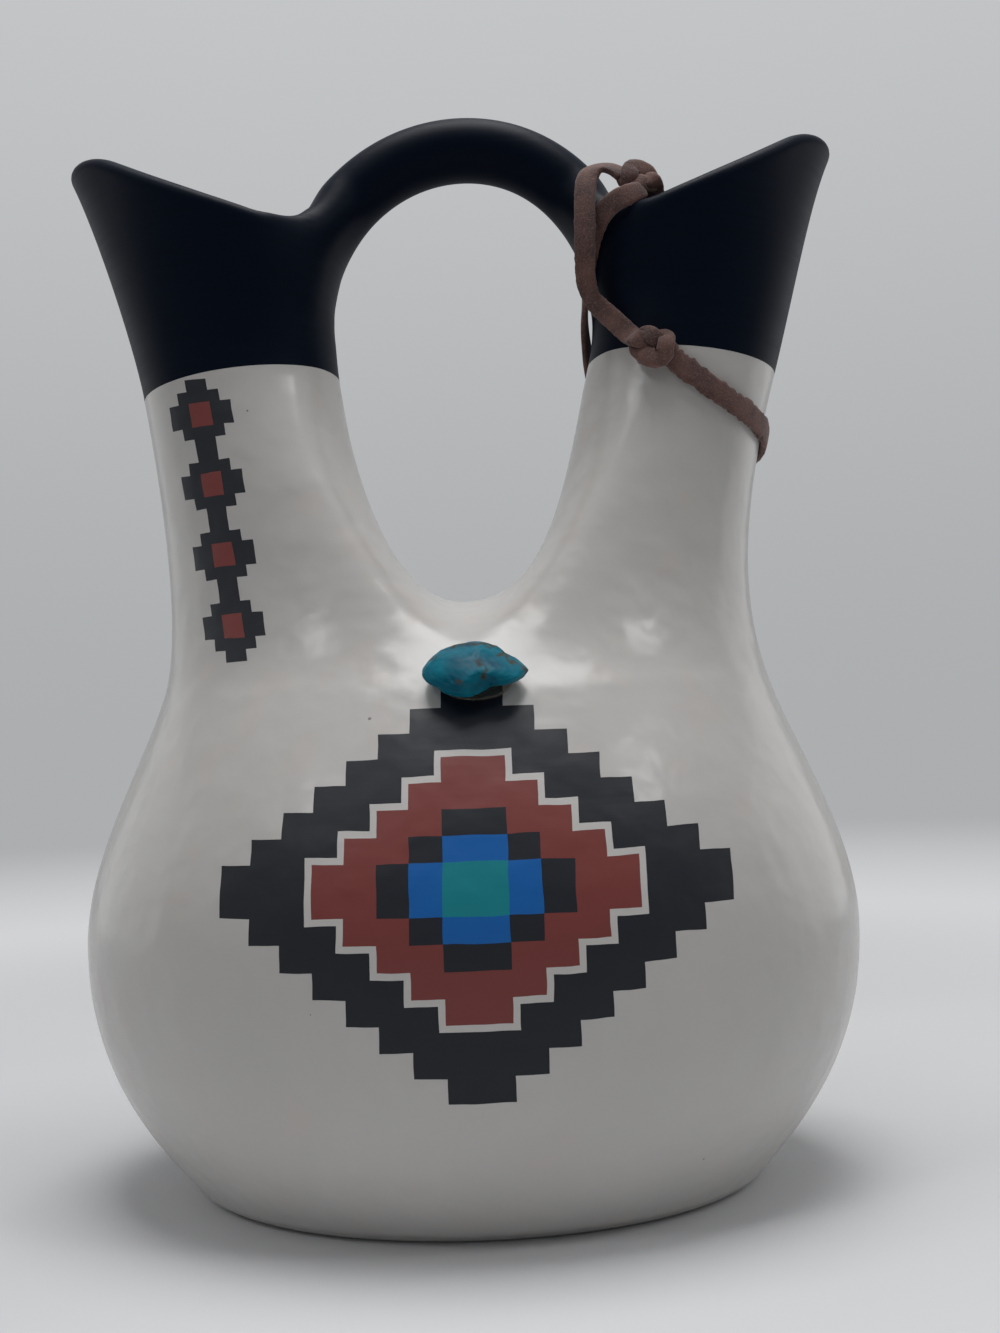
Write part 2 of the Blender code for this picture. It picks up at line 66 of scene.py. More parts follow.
def add_object(name, data):
    """A new object, linked to the scene."""
    made = bpy.data.objects.new(name, data)
    bpy.context.scene.collection.objects.link(made)
    return made


lens = bpy.data.cameras.new("photo_camera")
lens.sensor_fit = "HORIZONTAL"
lens.sensor_width = 36
lens.lens = lens.sensor_width * FOCAL_PX / PICTURE_WIDTH_PX
lens.clip_start = 0.01
camera = add_object("photo_camera", lens)
turn = Matrix.Rotation(math.pi / 2 + TILT_UP, 4, "X") @ Matrix.Rotation(-ROLL, 4, "Z")
camera.matrix_world = Matrix.Translation(Vector(EYE_MM) * MM) @ turn
bpy.context.scene.camera = camera
print("lens, mm:", round(lens.lens, 1))

# %% [markdown]
# ## The shape of the clay
# A potter builds the belly from coils, pinches it to a saddle and pulls two necks from it. The same
# lines can be drawn as cubic curves: from the foot to the girth, on to the root of the necks, up to
# the collar where the black finish starts, and out to the rim. A Hermite cubic takes two end points
# and two end pulls, so the curves leave each section in the direction that the last one arrived in.
# Lofting rings along these curves gives clean quads that follow the form, which a remeshed blob
# would not.

# %% Sizes of the clay, in mm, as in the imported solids
FOOT_HALF_WIDTH, FOOT_HALF_DEPTH, FOOT_ROUND = 62.5, 47.0, 1.6
FOOT_FLARE_OUT, FOOT_FLARE_UP = 40.5, 44.5
GIRTH_HALF_WIDTH, GIRTH_HALF_DEPTH, GIRTH_HEIGHT = 87.8, 68.5, 56.0
GIRTH_PULL_BELOW, GIRTH_PULL_ABOVE = 78.0, 59.0
ROOT_HALF_WIDTH, ROOT_HALF_DEPTH, ROOT_HEIGHT = 70.5, 44.5, 111.3
ROOT_LEAN_WIDTH, ROOT_LEAN_DEPTH, ROOT_PULL = -0.29, -0.75, 45.5
SADDLE_HEIGHT, SADDLE_PULL = 131.4, 52.7
ARCH_PULL_FRONT, ARCH_PULL_TOP = 26.5, 53.0
CORNER_ANGLE, CORNER_BLEND, CORNER_FILLET = (math.radians(a) for a in (108, 35, 70))
CORNER_PULL_SHARE = 0.6
COLLAR_HEIGHT, COLLAR_TILT, COLLAR_DEPTH_RATIO = 184.6, math.radians(6.4), 0.9
SPOUT_PULL_SHARE = 0.6
TIP_RISE, TIP_DROP, TIP_DROP_FROM, TIP_LEAN = 57.0, 4.5, 0.8, math.radians(26.9)
NOTCH_RISE, RIM_RISE_POWER = 32.2, 1.75
RIM_HALF_DEPTH, RIM_PINCH, RIM_FLARE, RIM_PULL = 25.0, 0.25, 0.15, 37.0
WEB_RISE, WEB_FROM = 9.0, math.radians(122)
WALL, FLOOR_THICKNESS = 5.0, 7.5

LEFT = dict(sign=-1, reach=51.3, half_width=23.3, lean_out=math.radians(9.6),
            lean_in=math.radians(3.6), pull=61.7, tip_reach=91.9, notch_reach=29.5,
            paint_level=0.985)
RIGHT = dict(sign=1, reach=53.3, half_width=22.2, lean_out=math.radians(16.2),
             lean_in=math.radians(11.8), pull=114.5, tip_reach=92.1, notch_reach=33.0,
             paint_level=1.013)


# %% Curves of the belly and the spouts
def hermite(start, start_pull, end, end_pull, share):
    s2, s3 = share ** 2, share ** 3
    return (start * (2 * s3 - 3 * s2 + 1) + start_pull * (s3 - 2 * s2 + share)
            + end * (3 * s2 - 2 * s3) + end_pull * (s3 - s2))


def ease(value):
    value = np.clip(value, 0, 1)
    return value * value * (3 - 2 * value)


def columns(*parts):
    """Point coordinates from numbers or arrays, as an array with x, y and z last."""
    return np.stack(np.broadcast_arrays(*parts), axis=-1)


def belly_section(share):
    """Half width, half depth and height; 0 is the foot, 1 the girth and 2 the root of the necks."""
    if share <= 1:
        return (hermite(FOOT_HALF_WIDTH, FOOT_FLARE_OUT, GIRTH_HALF_WIDTH, 0, share),
                hermite(FOOT_HALF_DEPTH, FOOT_FLARE_OUT, GIRTH_HALF_DEPTH, 0, share),
                hermite(0, FOOT_FLARE_UP, GIRTH_HEIGHT, GIRTH_PULL_BELOW, share))
    share -= 1
    return (hermite(GIRTH_HALF_WIDTH, 0, ROOT_HALF_WIDTH, ROOT_LEAN_WIDTH * ROOT_PULL, share),
            hermite(GIRTH_HALF_DEPTH, 0, ROOT_HALF_DEPTH, ROOT_LEAN_DEPTH * ROOT_PULL, share),
            hermite(GIRTH_HEIGHT, GIRTH_PULL_ABOVE, ROOT_HEIGHT, ROOT_PULL, share))


def neck_start(spout, angle):
    """Where the neck's lines leave the belly or the saddle, and the pull that they leave with."""
    front = np.where(angle >= 0, -1.0, 1.0)
    turned = np.abs(angle)
    around = np.minimum(turned / CORNER_ANGLE, 1) * math.pi / 2
    across, along = spout["sign"] * np.cos(around), front * np.sin(around)
    outer = columns(ROOT_HALF_WIDTH * across, ROOT_HALF_DEPTH * along, ROOT_HEIGHT)
    outer_up = columns(ROOT_LEAN_WIDTH * across, ROOT_LEAN_DEPTH * along, 1.0) * ROOT_PULL
    share = np.clip((turned - CORNER_ANGLE) / (math.pi - CORNER_ANGLE), 0, 1)
    depth = hermite(ROOT_HALF_DEPTH, ROOT_LEAN_DEPTH * ARCH_PULL_FRONT, 0, -ARCH_PULL_TOP, share)
    height = hermite(ROOT_HEIGHT, ARCH_PULL_FRONT, SADDLE_HEIGHT, 0, share)
    inner = columns(0.0, front * depth, height)
    inner_up = columns(0.0, front * ROOT_LEAN_DEPTH, 1.0) * ROOT_PULL
    on_belly = (turned <= CORNER_ANGLE)[..., None]
    inner_share = CORNER_PULL_SHARE + (1 - CORNER_PULL_SHARE) * ease(share)
    sideways = columns(spout["sign"] * SADDLE_PULL * inner_share, 0.0, 0.0)
    blend = ease((turned - CORNER_ANGLE + CORNER_BLEND) / (2 * CORNER_BLEND))[..., None]
    pull = np.where(on_belly, outer_up, inner_up) * (1 - blend) + sideways * blend
    return np.where(on_belly, outer, inner), pull


def collar(spout, angle):
    sign, wide = spout["sign"], spout["half_width"]
    across, along = wide * np.cos(angle), wide * COLLAR_DEPTH_RATIO * np.sin(angle)
    place = columns(sign * (spout["reach"] + across * math.cos(COLLAR_TILT)), -along,
                    COLLAR_HEIGHT - across * math.sin(COLLAR_TILT))
    lean = spout["lean_in"] + (spout["lean_out"] - spout["lean_in"]) * (1 + np.cos(angle)) / 2
    return place, columns(sign * np.sin(lean), 0.0, np.cos(lean)) * spout["pull"]


def rim(spout, angle):
    sign, share = spout["sign"], (1 + np.cos(angle)) / 2
    drop = np.maximum(0, (share - TIP_DROP_FROM) / (1 - TIP_DROP_FROM))
    depth = RIM_HALF_DEPTH * np.sin(angle) * (1 - RIM_PINCH * np.cos(angle))
    rise = NOTCH_RISE + (TIP_RISE - NOTCH_RISE) * share ** RIM_RISE_POWER - TIP_DROP * drop ** 2
    rise = rise + WEB_RISE * ease((np.abs(angle) - WEB_FROM) / (math.pi - WEB_FROM))
    reach = spout["notch_reach"] + (spout["tip_reach"] - spout["notch_reach"]) * share
    lean = TIP_LEAN * share
    pull = columns(sign * np.sin(lean), -RIM_FLARE * np.sin(angle), np.cos(lean)) * RIM_PULL
    return columns(sign * reach, -depth, COLLAR_HEIGHT + rise), pull


def spout_points(spout, angle, level):
    """The clay's outer face: level 0 is the root, 1 the collar and 2 the rim."""
    angle = (np.asarray(angle, float) + math.pi) % (2 * math.pi) - math.pi
    middle, middle_pull = collar(spout, angle)
    if level <= 1:
        return hermite(*neck_start(spout, angle), middle, middle_pull, level)
    return hermite(middle, middle_pull * SPOUT_PULL_SHARE, *rim(spout, angle), level - 1)


print("girth across, mm:", round(2 * belly_section(1)[0], 1))

# %% [markdown]
# ## The skin of the vase
# All the clay was fired into one body, so it is one mesh here and stands for six solids. The outer
# face is lofted first. Where a neck turns from the belly to the saddle the loft has a sharp corner,
# which the potter's thumb rounded: those points are drawn to the mean of their neighbours many
# times over. The inner face is the outer one moved in by the wall, and half-round lips join the
# two.

# %% Loft the outer face
HALF_SIDES, ARCH_SIDES = 72, 48
BELLY_ROWS, SHOULDER_ROWS, NECK_ROWS, SPOUT_ROWS = 34, 30, 44, 32
FOOT_STEPS, FIRST_BELLY_SHARE = 5, 0.035
RIM_LEVEL = 1.955


def band(lower, upper):
    """Quads between two closed rings of point numbers."""
    return [(lower[i - 1], lower[i], upper[i], upper[i - 1]) for i in range(len(lower))]


def add_points(store, new_points):
    """Puts points at the end of a list of arrays and returns their numbers."""
    first = sum(len(part) for part in store)
    store.append(np.asarray(new_points, float))
    return list(range(first, first + len(new_points)))


def oval(width, depth, height):
    a = np.arange(2 * HALF_SIDES) * math.pi / HALF_SIDES
    return columns(-width * np.sin(a), -depth * np.cos(a), height)


def fillet_weight(angle, level):
    angle = (angle + math.pi) % (2 * math.pi) - math.pi
    off_corner = np.abs(np.abs(angle) - CORNER_ANGLE) / CORNER_FILLET
    return (1 - ease(off_corner)) * (1 - ease(level))


skin_store, skin_faces, skin_black, fillets = [], [], [], {}
belly = []
for step in range(FOOT_STEPS):
    a = step / FOOT_STEPS * math.pi / 2
    inset = FOOT_ROUND * (1 - math.sin(a))
    belly.append(add_points(skin_store, oval(FOOT_HALF_WIDTH - inset, FOOT_HALF_DEPTH - inset,
                                             FOOT_ROUND * (1 - math.cos(a)))))
shares = np.r_[np.linspace(FIRST_BELLY_SHARE, 1, BELLY_ROWS),
               1 + np.arange(1, SHOULDER_ROWS + 1) / SHOULDER_ROWS]
belly += [add_points(skin_store, oval(*belly_section(share))) for share in shares]
for lower, upper in zip(belly, belly[1:]):
    skin_faces += band(upper, lower)
skin_black += [False] * len(skin_faces)

root = belly[-1]
outer_angles = CORNER_ANGLE * (1 - 2 * np.arange(HALF_SIDES + 1) / HALF_SIDES)
inner_angles = -CORNER_ANGLE - 2 * (math.pi - CORNER_ANGLE) * np.arange(1, ARCH_SIDES) / ARCH_SIDES
arch = add_points(skin_store, spout_points(LEFT, inner_angles, 0))
rims = []
for spout in (LEFT, RIGHT):
    angles = np.r_[outer_angles, inner_angles] * -spout["sign"]
    if spout is LEFT:
        lower = root[:HALF_SIDES + 1] + arch
    else:
        lower = root[HALF_SIDES:] + root[:1] + arch[::-1]
    fillets.update(zip(lower, fillet_weight(angles, 0)))
    paint_level = spout["paint_level"]
    levels = np.r_[np.linspace(0, paint_level, NECK_ROWS + 1)[1:],
                   np.linspace(paint_level, RIM_LEVEL, SPOUT_ROWS + 1)[1:]]
    for level in levels:
        upper = add_points(skin_store, spout_points(spout, angles, level))
        fillets.update(zip(upper, fillet_weight(angles, level)))
        skin_faces += band(upper, lower)
        skin_black += [level > paint_level] * len(upper)
        before, lower = lower, upper
    rims.append((before, lower))
skin = np.vstack(skin_store)
print("outer face:", len(skin), "points")

# %% Round the corners by repeated averaging
FILLET_PASSES = 300


def averaged(points, edges, weights, passes):
    """Draws weighted points to the mean of their neighbours, again and again."""
    a, b = edges.T
    ends, others = np.r_[a, b], np.r_[b, a]
    moving = weights[ends] > 0
    ends, others = ends[moving], others[moving]
    degree = np.maximum(np.bincount(ends, minlength=len(points)), 1)
    points = points.copy()
    for _ in range(passes):
        for k in range(3):
            mean = np.bincount(ends, points[others, k], minlength=len(points)) / degree
            points[:, k] += (mean - points[:, k]) * weights / 2
    return points


pairs = np.array([(f[i - 1], f[i]) for f in skin_faces for i in range(len(f))])
skin_edges = np.unique(np.sort(pairs, axis=1), axis=0)
skin_weights = np.zeros(len(skin))
skin_weights[list(fillets)] = list(fillets.values())
skin = averaged(skin, skin_edges, skin_weights, FILLET_PASSES)
print("rounded points:", int((skin_weights > 0).sum()))

# %% Add the lips, the inner face and the floor
LIP_STEPS, FLOOR_CLEAR = 10, 1.0
INNER_DISC_SHARES, FOOT_DISC_SHARES = (0.96, 0.7, 0.4, 0.15), (0.75, 0.5, 0.25)


def point_normals(points, quads):
    p = points[quads]
    across = np.cross(p[:, 2] - p[:, 0], p[:, 3] - p[:, 1])
    total = np.stack([sum(np.bincount(quads[:, corner], across[:, k], minlength=len(points))
                          for corner in range(4)) for k in range(3)], axis=1)
    return total / np.linalg.norm(total, axis=1, keepdims=True)


def new_mesh(name, points, faces):
    """A smooth object from points in mm and lists of corners, with its faces turned outward."""
    data = bpy.data.meshes.new(name)
    data.from_pydata((np.asarray(points) * MM).tolist(), [], faces)
    shell = bmesh.new()
    shell.from_mesh(data)
    bmesh.ops.delete(shell, geom=[v for v in shell.verts if not v.link_faces], context="VERTS")
    bmesh.ops.recalc_face_normals(shell, faces=shell.faces)
    shell.to_mesh(data)
    shell.free()
    data.shade_smooth()
    return add_object(name, data)


def new_tube(name, points, rings):
    """A tube through rings of point numbers, with a cap at each end."""
    faces = [face for lower, upper in zip(rings, rings[1:]) for face in band(lower, upper)]
    return new_mesh(name, points, faces + [rings[0], rings[-1][::-1]])


normals = point_normals(skin, np.array(skin_faces))
inner = skin - normals * WALL
store, shift = [skin, inner], len(skin)
floor_row = next(i for i, ring in enumerate(belly)
                 if inner[ring, 2].min() > FLOOR_THICKNESS + FLOOR_CLEAR)
below_floor = set(np.concatenate(belly[:floor_row]).tolist())
vase_faces, vase_black = list(skin_faces), list(skin_black)
for f, black in zip(skin_faces, skin_black):
    if not below_floor & set(f):
        vase_faces.append(tuple(i + shift for i in f[::-1]))
        vase_black.append(black)
for before, edge in rims:
    out = normals[edge]
    rise = skin[edge] - skin[before]
    rise -= out * np.sum(rise * out, axis=1, keepdims=True)
    rise /= np.linalg.norm(rise, axis=1, keepdims=True)
    middle = skin[edge] - out * WALL / 2
    lower = edge
    for a in np.linspace(0, math.pi, LIP_STEPS + 1)[1:-1]:
        upper = add_points(store, middle + (out * math.cos(a) + rise * math.sin(a)) * WALL / 2)
        vase_faces += band(upper, lower)
        lower = upper
    vase_faces += band([i + shift for i in edge], lower)
vase_black += [True] * (len(vase_faces) - len(vase_black))


def close_with_disc(ring, ring_points, height, shares):
    """Rings that shrink to a middle point, so that a flat face has no long thin triangles."""
    lower = ring
    for share in shares:
        x, y = ring_points[:, :2].T * share
        upper = add_points(store, columns(x, y, height))
        vase_faces.extend(band(upper, lower))
        lower = upper
    middle = add_points(store, [(0, 0, height)])[0]
    vase_faces.extend((lower[i], lower[i - 1], middle) for i in range(len(lower)))


close_with_disc([i + shift for i in belly[floor_row]], inner[belly[floor_row]], FLOOR_THICKNESS,
                INNER_DISC_SHARES)
close_with_disc(belly[0], skin[belly[0]], 0.0, FOOT_DISC_SHARES)
vase_black += [False] * (len(vase_faces) - len(vase_black))
vase = new_mesh("painted_vase", np.vstack(store), vase_faces)
print("vase faces:", len(vase_faces))

# %% [markdown]
# ## The handle
# The handle is a coil of clay, bent to an arch. At both ends it was spread with the thumb over the
# inner rim and drawn down inside the mouth. A tube along the arch has an oval section that widens
# to the rim and then runs out into the wall. It is united with the vase by an exact Boolean, and
# the seam that this leaves is averaged until it flows, as the wet clay did. A bevel would fail on
# such a slanting seam.

# %% Unite the handle with the vase
HANDLE_RISE, HANDLE_THICKNESS, HANDLE_CROWN_SHIFT = 32.2, 14.9, 3.1
HANDLE_ROOT_DEPTH, HANDLE_ROOT_DROP = 5.2, 11.5
HANDLE_CROWN_PULL, HANDLE_SPRING_PULL = 63.3, 53.8
HANDLE_STEPS, HANDLE_SIDES = 64, 56
ROOT_THIN, ROOT_SPREAD = 12.8, 29.0
ROOT_FROM, THIN_RUN, SPREAD_RUN = 0.45, 0.4, 0.35
TONGUE_DEPTH, TONGUE_DROP, TONGUE_THIN, TONGUE_SPREAD = 2.3, 15.0, 3.4, 10.0
ARCH_SHARE = 1 / 1.3
HANDLE_INDEX = 2


def handle_station(spout, share):
    """Middle, thickness in the arch's plane and across; past ARCH_SHARE is the tongue."""
    sign, notch = spout["sign"], COLLAR_HEIGHT + NOTCH_RISE
    crown = np.array((HANDLE_CROWN_SHIFT, 0, notch + HANDLE_RISE - HANDLE_THICKNESS / 2))
    spring = np.array((sign * (spout["notch_reach"] + HANDLE_ROOT_DEPTH), 0,
                       notch - HANDLE_ROOT_DROP))
    tip = np.array((sign * (spout["notch_reach"] + TONGUE_DEPTH), 0, spring[2] - TONGUE_DROP))
    s = min(share / ARCH_SHARE, 1)
    middle = hermite(crown, np.array((sign * HANDLE_CROWN_PULL, 0, 0)), spring,
                     np.array((0, 0, -HANDLE_SPRING_PULL)), s)
    thin = HANDLE_THICKNESS + (ROOT_THIN - HANDLE_THICKNESS) * ease((s - ROOT_FROM) / THIN_RUN)
    widened = ease((s - ROOT_FROM) / SPREAD_RUN)
    spread = HANDLE_THICKNESS + (ROOT_SPREAD - HANDLE_THICKNESS) * widened
    tongue = np.clip((share - ARCH_SHARE) / (1 - ARCH_SHARE), 0, 1)
    middle = middle + (tip - spring) * tongue
    thin = thin + (TONGUE_THIN - thin) * tongue
    return middle, thin, spread + (TONGUE_SPREAD - spread) * ease(tongue)


stations = [handle_station(LEFT, i / HANDLE_STEPS) for i in range(HANDLE_STEPS, 0, -1)]
stations += [handle_station(RIGHT, i / HANDLE_STEPS) for i in range(HANDLE_STEPS + 1)]
turns = np.linspace(0, 2 * math.pi, HANDLE_SIDES, endpoint=False)
store, rings = [], []
for i, (middle, thin, spread) in enumerate(stations):
    ahead = stations[min(i + 1, len(stations) - 1)][0] - stations[max(i - 1, 0)][0]
    up = np.cross(ahead / np.linalg.norm(ahead), (0, 1, 0))
    rings.append(add_points(store, middle + np.outer(np.cos(turns) * thin / 2, up)
                            + np.outer(np.sin(turns) * spread / 2, (0, 1, 0))))
coil = new_tube("handle_coil", np.vstack(store), rings)
for made in (vase, coil):
    for name in ("slip_side", "black_side", "handle_side"):
        made.data.materials.append(bpy.data.materials.get(name) or bpy.data.materials.new(name))
vase.data.polygons.foreach_set("material_index", np.array(vase_black, int))
coil.data.polygons.foreach_set("material_index", np.full(len(coil.data.polygons), HANDLE_INDEX))
unite = vase.modifiers.new("unite", "BOOLEAN")
unite.operation = "UNION"
unite.object = coil
unite.solver = "EXACT"
united = bpy.data.meshes.new_from_object(vase.evaluated_get(bpy.context.evaluated_depsgraph_get()))
vase.modifiers.clear()
vase.data = united
united.name = "painted_vase"
bpy.data.objects.remove(coil)
print("united faces:", len(united.polygons))

# %% Draw the clay over the joint
JOINT_FILLET, JOINT_PASSES = 11.0, 80

shell = bmesh.new()
shell.from_mesh(united)
seam = [e for e in shell.edges
        if len({f.material_index == HANDLE_INDEX for f in e.link_faces}) == 2]
near = kdtree.KDTree(len(seam))
for i, e in enumerate(seam):
    near.insert((e.verts[0].co + e.verts[1].co) / 2, i)
near.balance()
points = np.array([v.co for v in shell.verts])
weights = np.array([1 - ease(near.find(p)[2] / MM / JOINT_FILLET) for p in points])
shell.verts.index_update()
edges = np.array([(e.verts[0].index, e.verts[1].index) for e in shell.edges])
for v, place in zip(shell.verts, averaged(points, edges, weights, JOINT_PASSES)):
    v.co = place
for f in shell.faces:
    f.material_index = min(f.material_index, 1)
    f.smooth = True
shell.to_mesh(united)
shell.free()
united.materials.pop(index=HANDLE_INDEX)
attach(vase, "root")
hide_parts("base", "bowl", "shoulder", "left_spout", "right_spout", "handle")
print("seam edges:", len(seam))

# %% [markdown]
# ## The lace
# The lace is a strip of brown suede, about 4.8 mm wide. It is one piece: from a short flap it runs
# down the saddle side and round the neck, is knotted on the front, climbs to the notch of the rim,
# is knotted again over its own start and ends in a short tail inside the mouth. Its route is a list
# of places on the clay: degrees round the neck, height above the collar and clearance, as in the
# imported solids. A curve with a round bevel would make a cord, so the strip is lofted as a mesh that
# faces the clay.

# %% The lace's route
FLAP_MM = [(45.4, -17.4, 223.0), (42.2, -19.6, 221.5), (38.8, -19.4, 220.5), (35.6, -17.2, 219.0),
           (33.4, -14.0, 216.0), (32.0, -10.4, 211.8)]
NECK_LOOP_ROUTE = [
    (-194, 22.4, 0.5), (-184, 18.4, 1.0), (-174, 14.4, 1.2), (-160, 7.4, 0.6), (-130, -4.6, 0.4),
    (-90, -14.6, 0.4), (-50, -18.8, 0.4), (-15, -18.8, 0.1), (6, -17.0, 0.0), (37, -14.4, 0.1),
    (61, -11.4, 0.4), (82, -7.0, 0.4), (100, -2.2, 0.4),
]
FRONT_STRAND_ROUTE = [(124, 3.6, 0.4), (129, 5.3, 0.5), (137, 8.2, 1.0), (145, 11.3, 2.2),
                      (153, 14.6, 3.6)]
STRAP_MM = [(30.7, -14.4, 202.6), (30.4, -16.2, 207.0), (30.6, -17.0, 212.0), (30.8, -17.2, 217.0),
            (31.0, -16.8, 222.0), (31.5, -15.8, 226.6)]
ARCH_MM = [(33.2, -14.6, 229.6), (35.6, -14.4, 230.2), (38.2, -14.6, 229.4), (40.4, -15.0, 227.6)]
TAIL_MM = [(47.4, -14.6, 222.8), (48.6, -12.6, 220.0), (49.2, -12.0, 214.0), (49.4, -12.0, 208.0)]
STRAP_FACING, ARCH_FACING, TAIL_FACING = (-0.25, -0.97, 0.0), (-0.2, -0.6, 0.77), (0.0, -0.97, 0.25)
LACE_WIDTH, LACE_THICKNESS, LACE_GAP = 4.8, 1.6, 0.3
HALVINGS, NUDGE = 40, 0.01
ROUTE_STEPS, LINE_STEPS = 3, 8


def clay_at_height(spout, degrees, height):
    """The clay's point at an angle and a height, or straight above the rim, and its normal."""
    angle = math.radians(degrees)
    low, high = 0.0, 2.0
    for _ in range(HALVINGS):
        level = (low + high) / 2
        if spout_points(spout, angle, level)[2] < height:
            low = level
        else:
            high = level
    here = spout_points(spout, angle, low)
    upward = here - spout_points(spout, angle, low - NUDGE)
    around = spout_points(spout, angle + NUDGE, low) - spout_points(spout, angle - NUDGE, low)
    out = np.cross(upward, around) * spout["sign"]
    here[2] = height
    return here, out / np.linalg.norm(out)


def through(points, per_step):
    """A smooth curve through all the points of a list."""
    points = np.asarray(points, float)
    padded = np.vstack([points[:1], points, points[-1:]])
    shares = np.linspace(0, 1, per_step, endpoint=False)[:, None]
    runs = [hermite(b, (c - a) / 2, c, (d - b) / 2, shares)
            for a, b, c, d in zip(padded, padded[1:], padded[2:], padded[3:])]
    return np.vstack(runs + [points[-1:]])


def on_clay(route):
    """Middle line and facing of a stretch of lace that follows the right spout."""
    line, facing = [], []
    for degrees, rise, clear in through(route, ROUTE_STEPS):
        place, out = clay_at_height(RIGHT, degrees, COLLAR_HEIGHT + rise)
        line.append(place + out * (LACE_GAP + LACE_THICKNESS / 2 + clear))
        facing.append(out)
    return np.array(line), np.array(facing)


# %% [markdown]
# An overhand knot passes three times over and under itself. Its line is written out here in strand
# widths, pulled nearly tight along x, so that one list serves for both knots. In a knot suede is
# squeezed to a thick, nearly round strand, and outside it the strip lies flat again.

# %% One line with two knots
KNOT_LINE = np.array([
    (-1.74, -0.80, -0.41), (-0.89, -0.76, -0.17), (-0.22, -0.81, 0.39), (0.60, -0.82, 0.58),
    (1.28, -0.61, 0.08), (1.44, 0.02, -0.48), (1.32, 0.83, -0.55), (0.91, 1.44, -0.06),
    (0.16, 1.76, 0.24), (-0.70, 1.73, 0.41), (-1.45, 1.29, 0.54), (-1.77, 0.51, 0.67),
    (-1.53, -0.32, 0.79), (-1.23, -1.14, 0.69), (-0.85, -1.70, 0.17), (-0.33, -1.55, -0.50),
    (0.09, -0.84, -0.68), (0.39, -0.17, -0.20), (0.90, 0.29, 0.33), (1.74, 0.51, 0.48),
])
FRONT_KNOT_STRAND, TOP_KNOT_STRAND, KNOT_SQUASH, KNOT_TUCK = 2.2, 1.75, 0.76, 0.4
LACE_STEP, SQUEEZE_RUN, SMOOTH_RUN, FACING_RUN = 0.6, 4.0, 3.0, 3.0
CLAY_PASSES, KNOT_HOLD = 3, 2


def knot_between(start, end, out, strand):
    """The knot's line from one strand's end to the next one's start, with its back on the clay."""
    along = end - start
    along -= out * along.dot(out)
    along /= np.linalg.norm(along)
    x, y, z = (KNOT_LINE * (1, KNOT_SQUASH, 1) * strand).T
    z = z - z.min() + KNOT_TUCK
    return ((start + end) / 2 + np.outer(x, along) + np.outer(y, np.cross(out, along))
            + np.outer(z, out))


def blurred(values, reach):
    """Values along the lace, each one averaged with its neighbours up to a reach in mm."""
    steps = max(1, round(reach / LACE_STEP))
    window = np.hanning(2 * steps + 3)[1:-1]
    return np.convolve(np.pad(values, steps, mode="edge"), window / window.sum(), mode="valid")


loop_line, loop_facing = on_clay(NECK_LOOP_ROUTE)
front_line, front_facing = on_clay(FRONT_STRAND_ROUTE)
front_knot = knot_between(loop_line[-1], front_line[0], loop_facing[-1], FRONT_KNOT_STRAND)
top_knot = knot_between(np.array(ARCH_MM[-1]), np.array(TAIL_MM[0]), np.array(TAIL_FACING),
                        TOP_KNOT_STRAND)
control = [np.array(FLAP_MM), loop_line, front_knot, front_line, np.array(STRAP_MM + ARCH_MM),
           top_knot, np.array(TAIL_MM)]
facing = [np.tile(STRAP_FACING, (len(FLAP_MM), 1)), loop_facing,
          np.tile(loop_facing[-1], (len(KNOT_LINE), 1)), front_facing,
          np.tile(STRAP_FACING, (len(STRAP_MM), 1)), np.tile(ARCH_FACING, (len(ARCH_MM), 1)),
          np.tile(TAIL_FACING, (len(KNOT_LINE) + len(TAIL_MM), 1))]
in_knot = np.concatenate([np.full(len(part), float(part is front_knot or part is top_knot))
                          for part in control])
rows = through(np.column_stack([np.vstack(control), np.vstack(facing), in_knot]), LINE_STEPS)
lengths = np.r_[0, np.cumsum(np.linalg.norm(np.diff(rows[:, :3], axis=0), axis=1))]
stops = np.linspace(0, lengths[-1], round(lengths[-1] / LACE_STEP) + 1)
rows = np.stack([np.interp(stops, lengths, column) for column in rows.T], axis=1)
lace_line, lace_facing = rows[:, :3], rows[:, 3:6]
squeeze = blurred(rows[:, 6], SQUEEZE_RUN)

clay = BVHTree.FromPolygons([v.co for v in united.vertices], [p.vertices for p in united.polygons])
for _ in range(CLAY_PASSES):
    for i, place in enumerate(lace_line):
        touch, out, _, _ = clay.find_nearest(Vector(place) * MM)
        touch, out = np.array(touch) / MM, np.array(out)
        room = LACE_GAP + LACE_THICKNESS / 2
        if (place - touch).dot(out) < room:
            lace_line[i] = touch + out * room
    free = 1 - np.clip(squeeze * KNOT_HOLD, 0, 1)
    for k in range(3):
        lace_line[:, k] += (blurred(lace_line[:, k], SMOOTH_RUN) - lace_line[:, k]) * free
for k in range(3):
    lace_facing[:, k] = blurred(lace_facing[:, k], FACING_RUN)

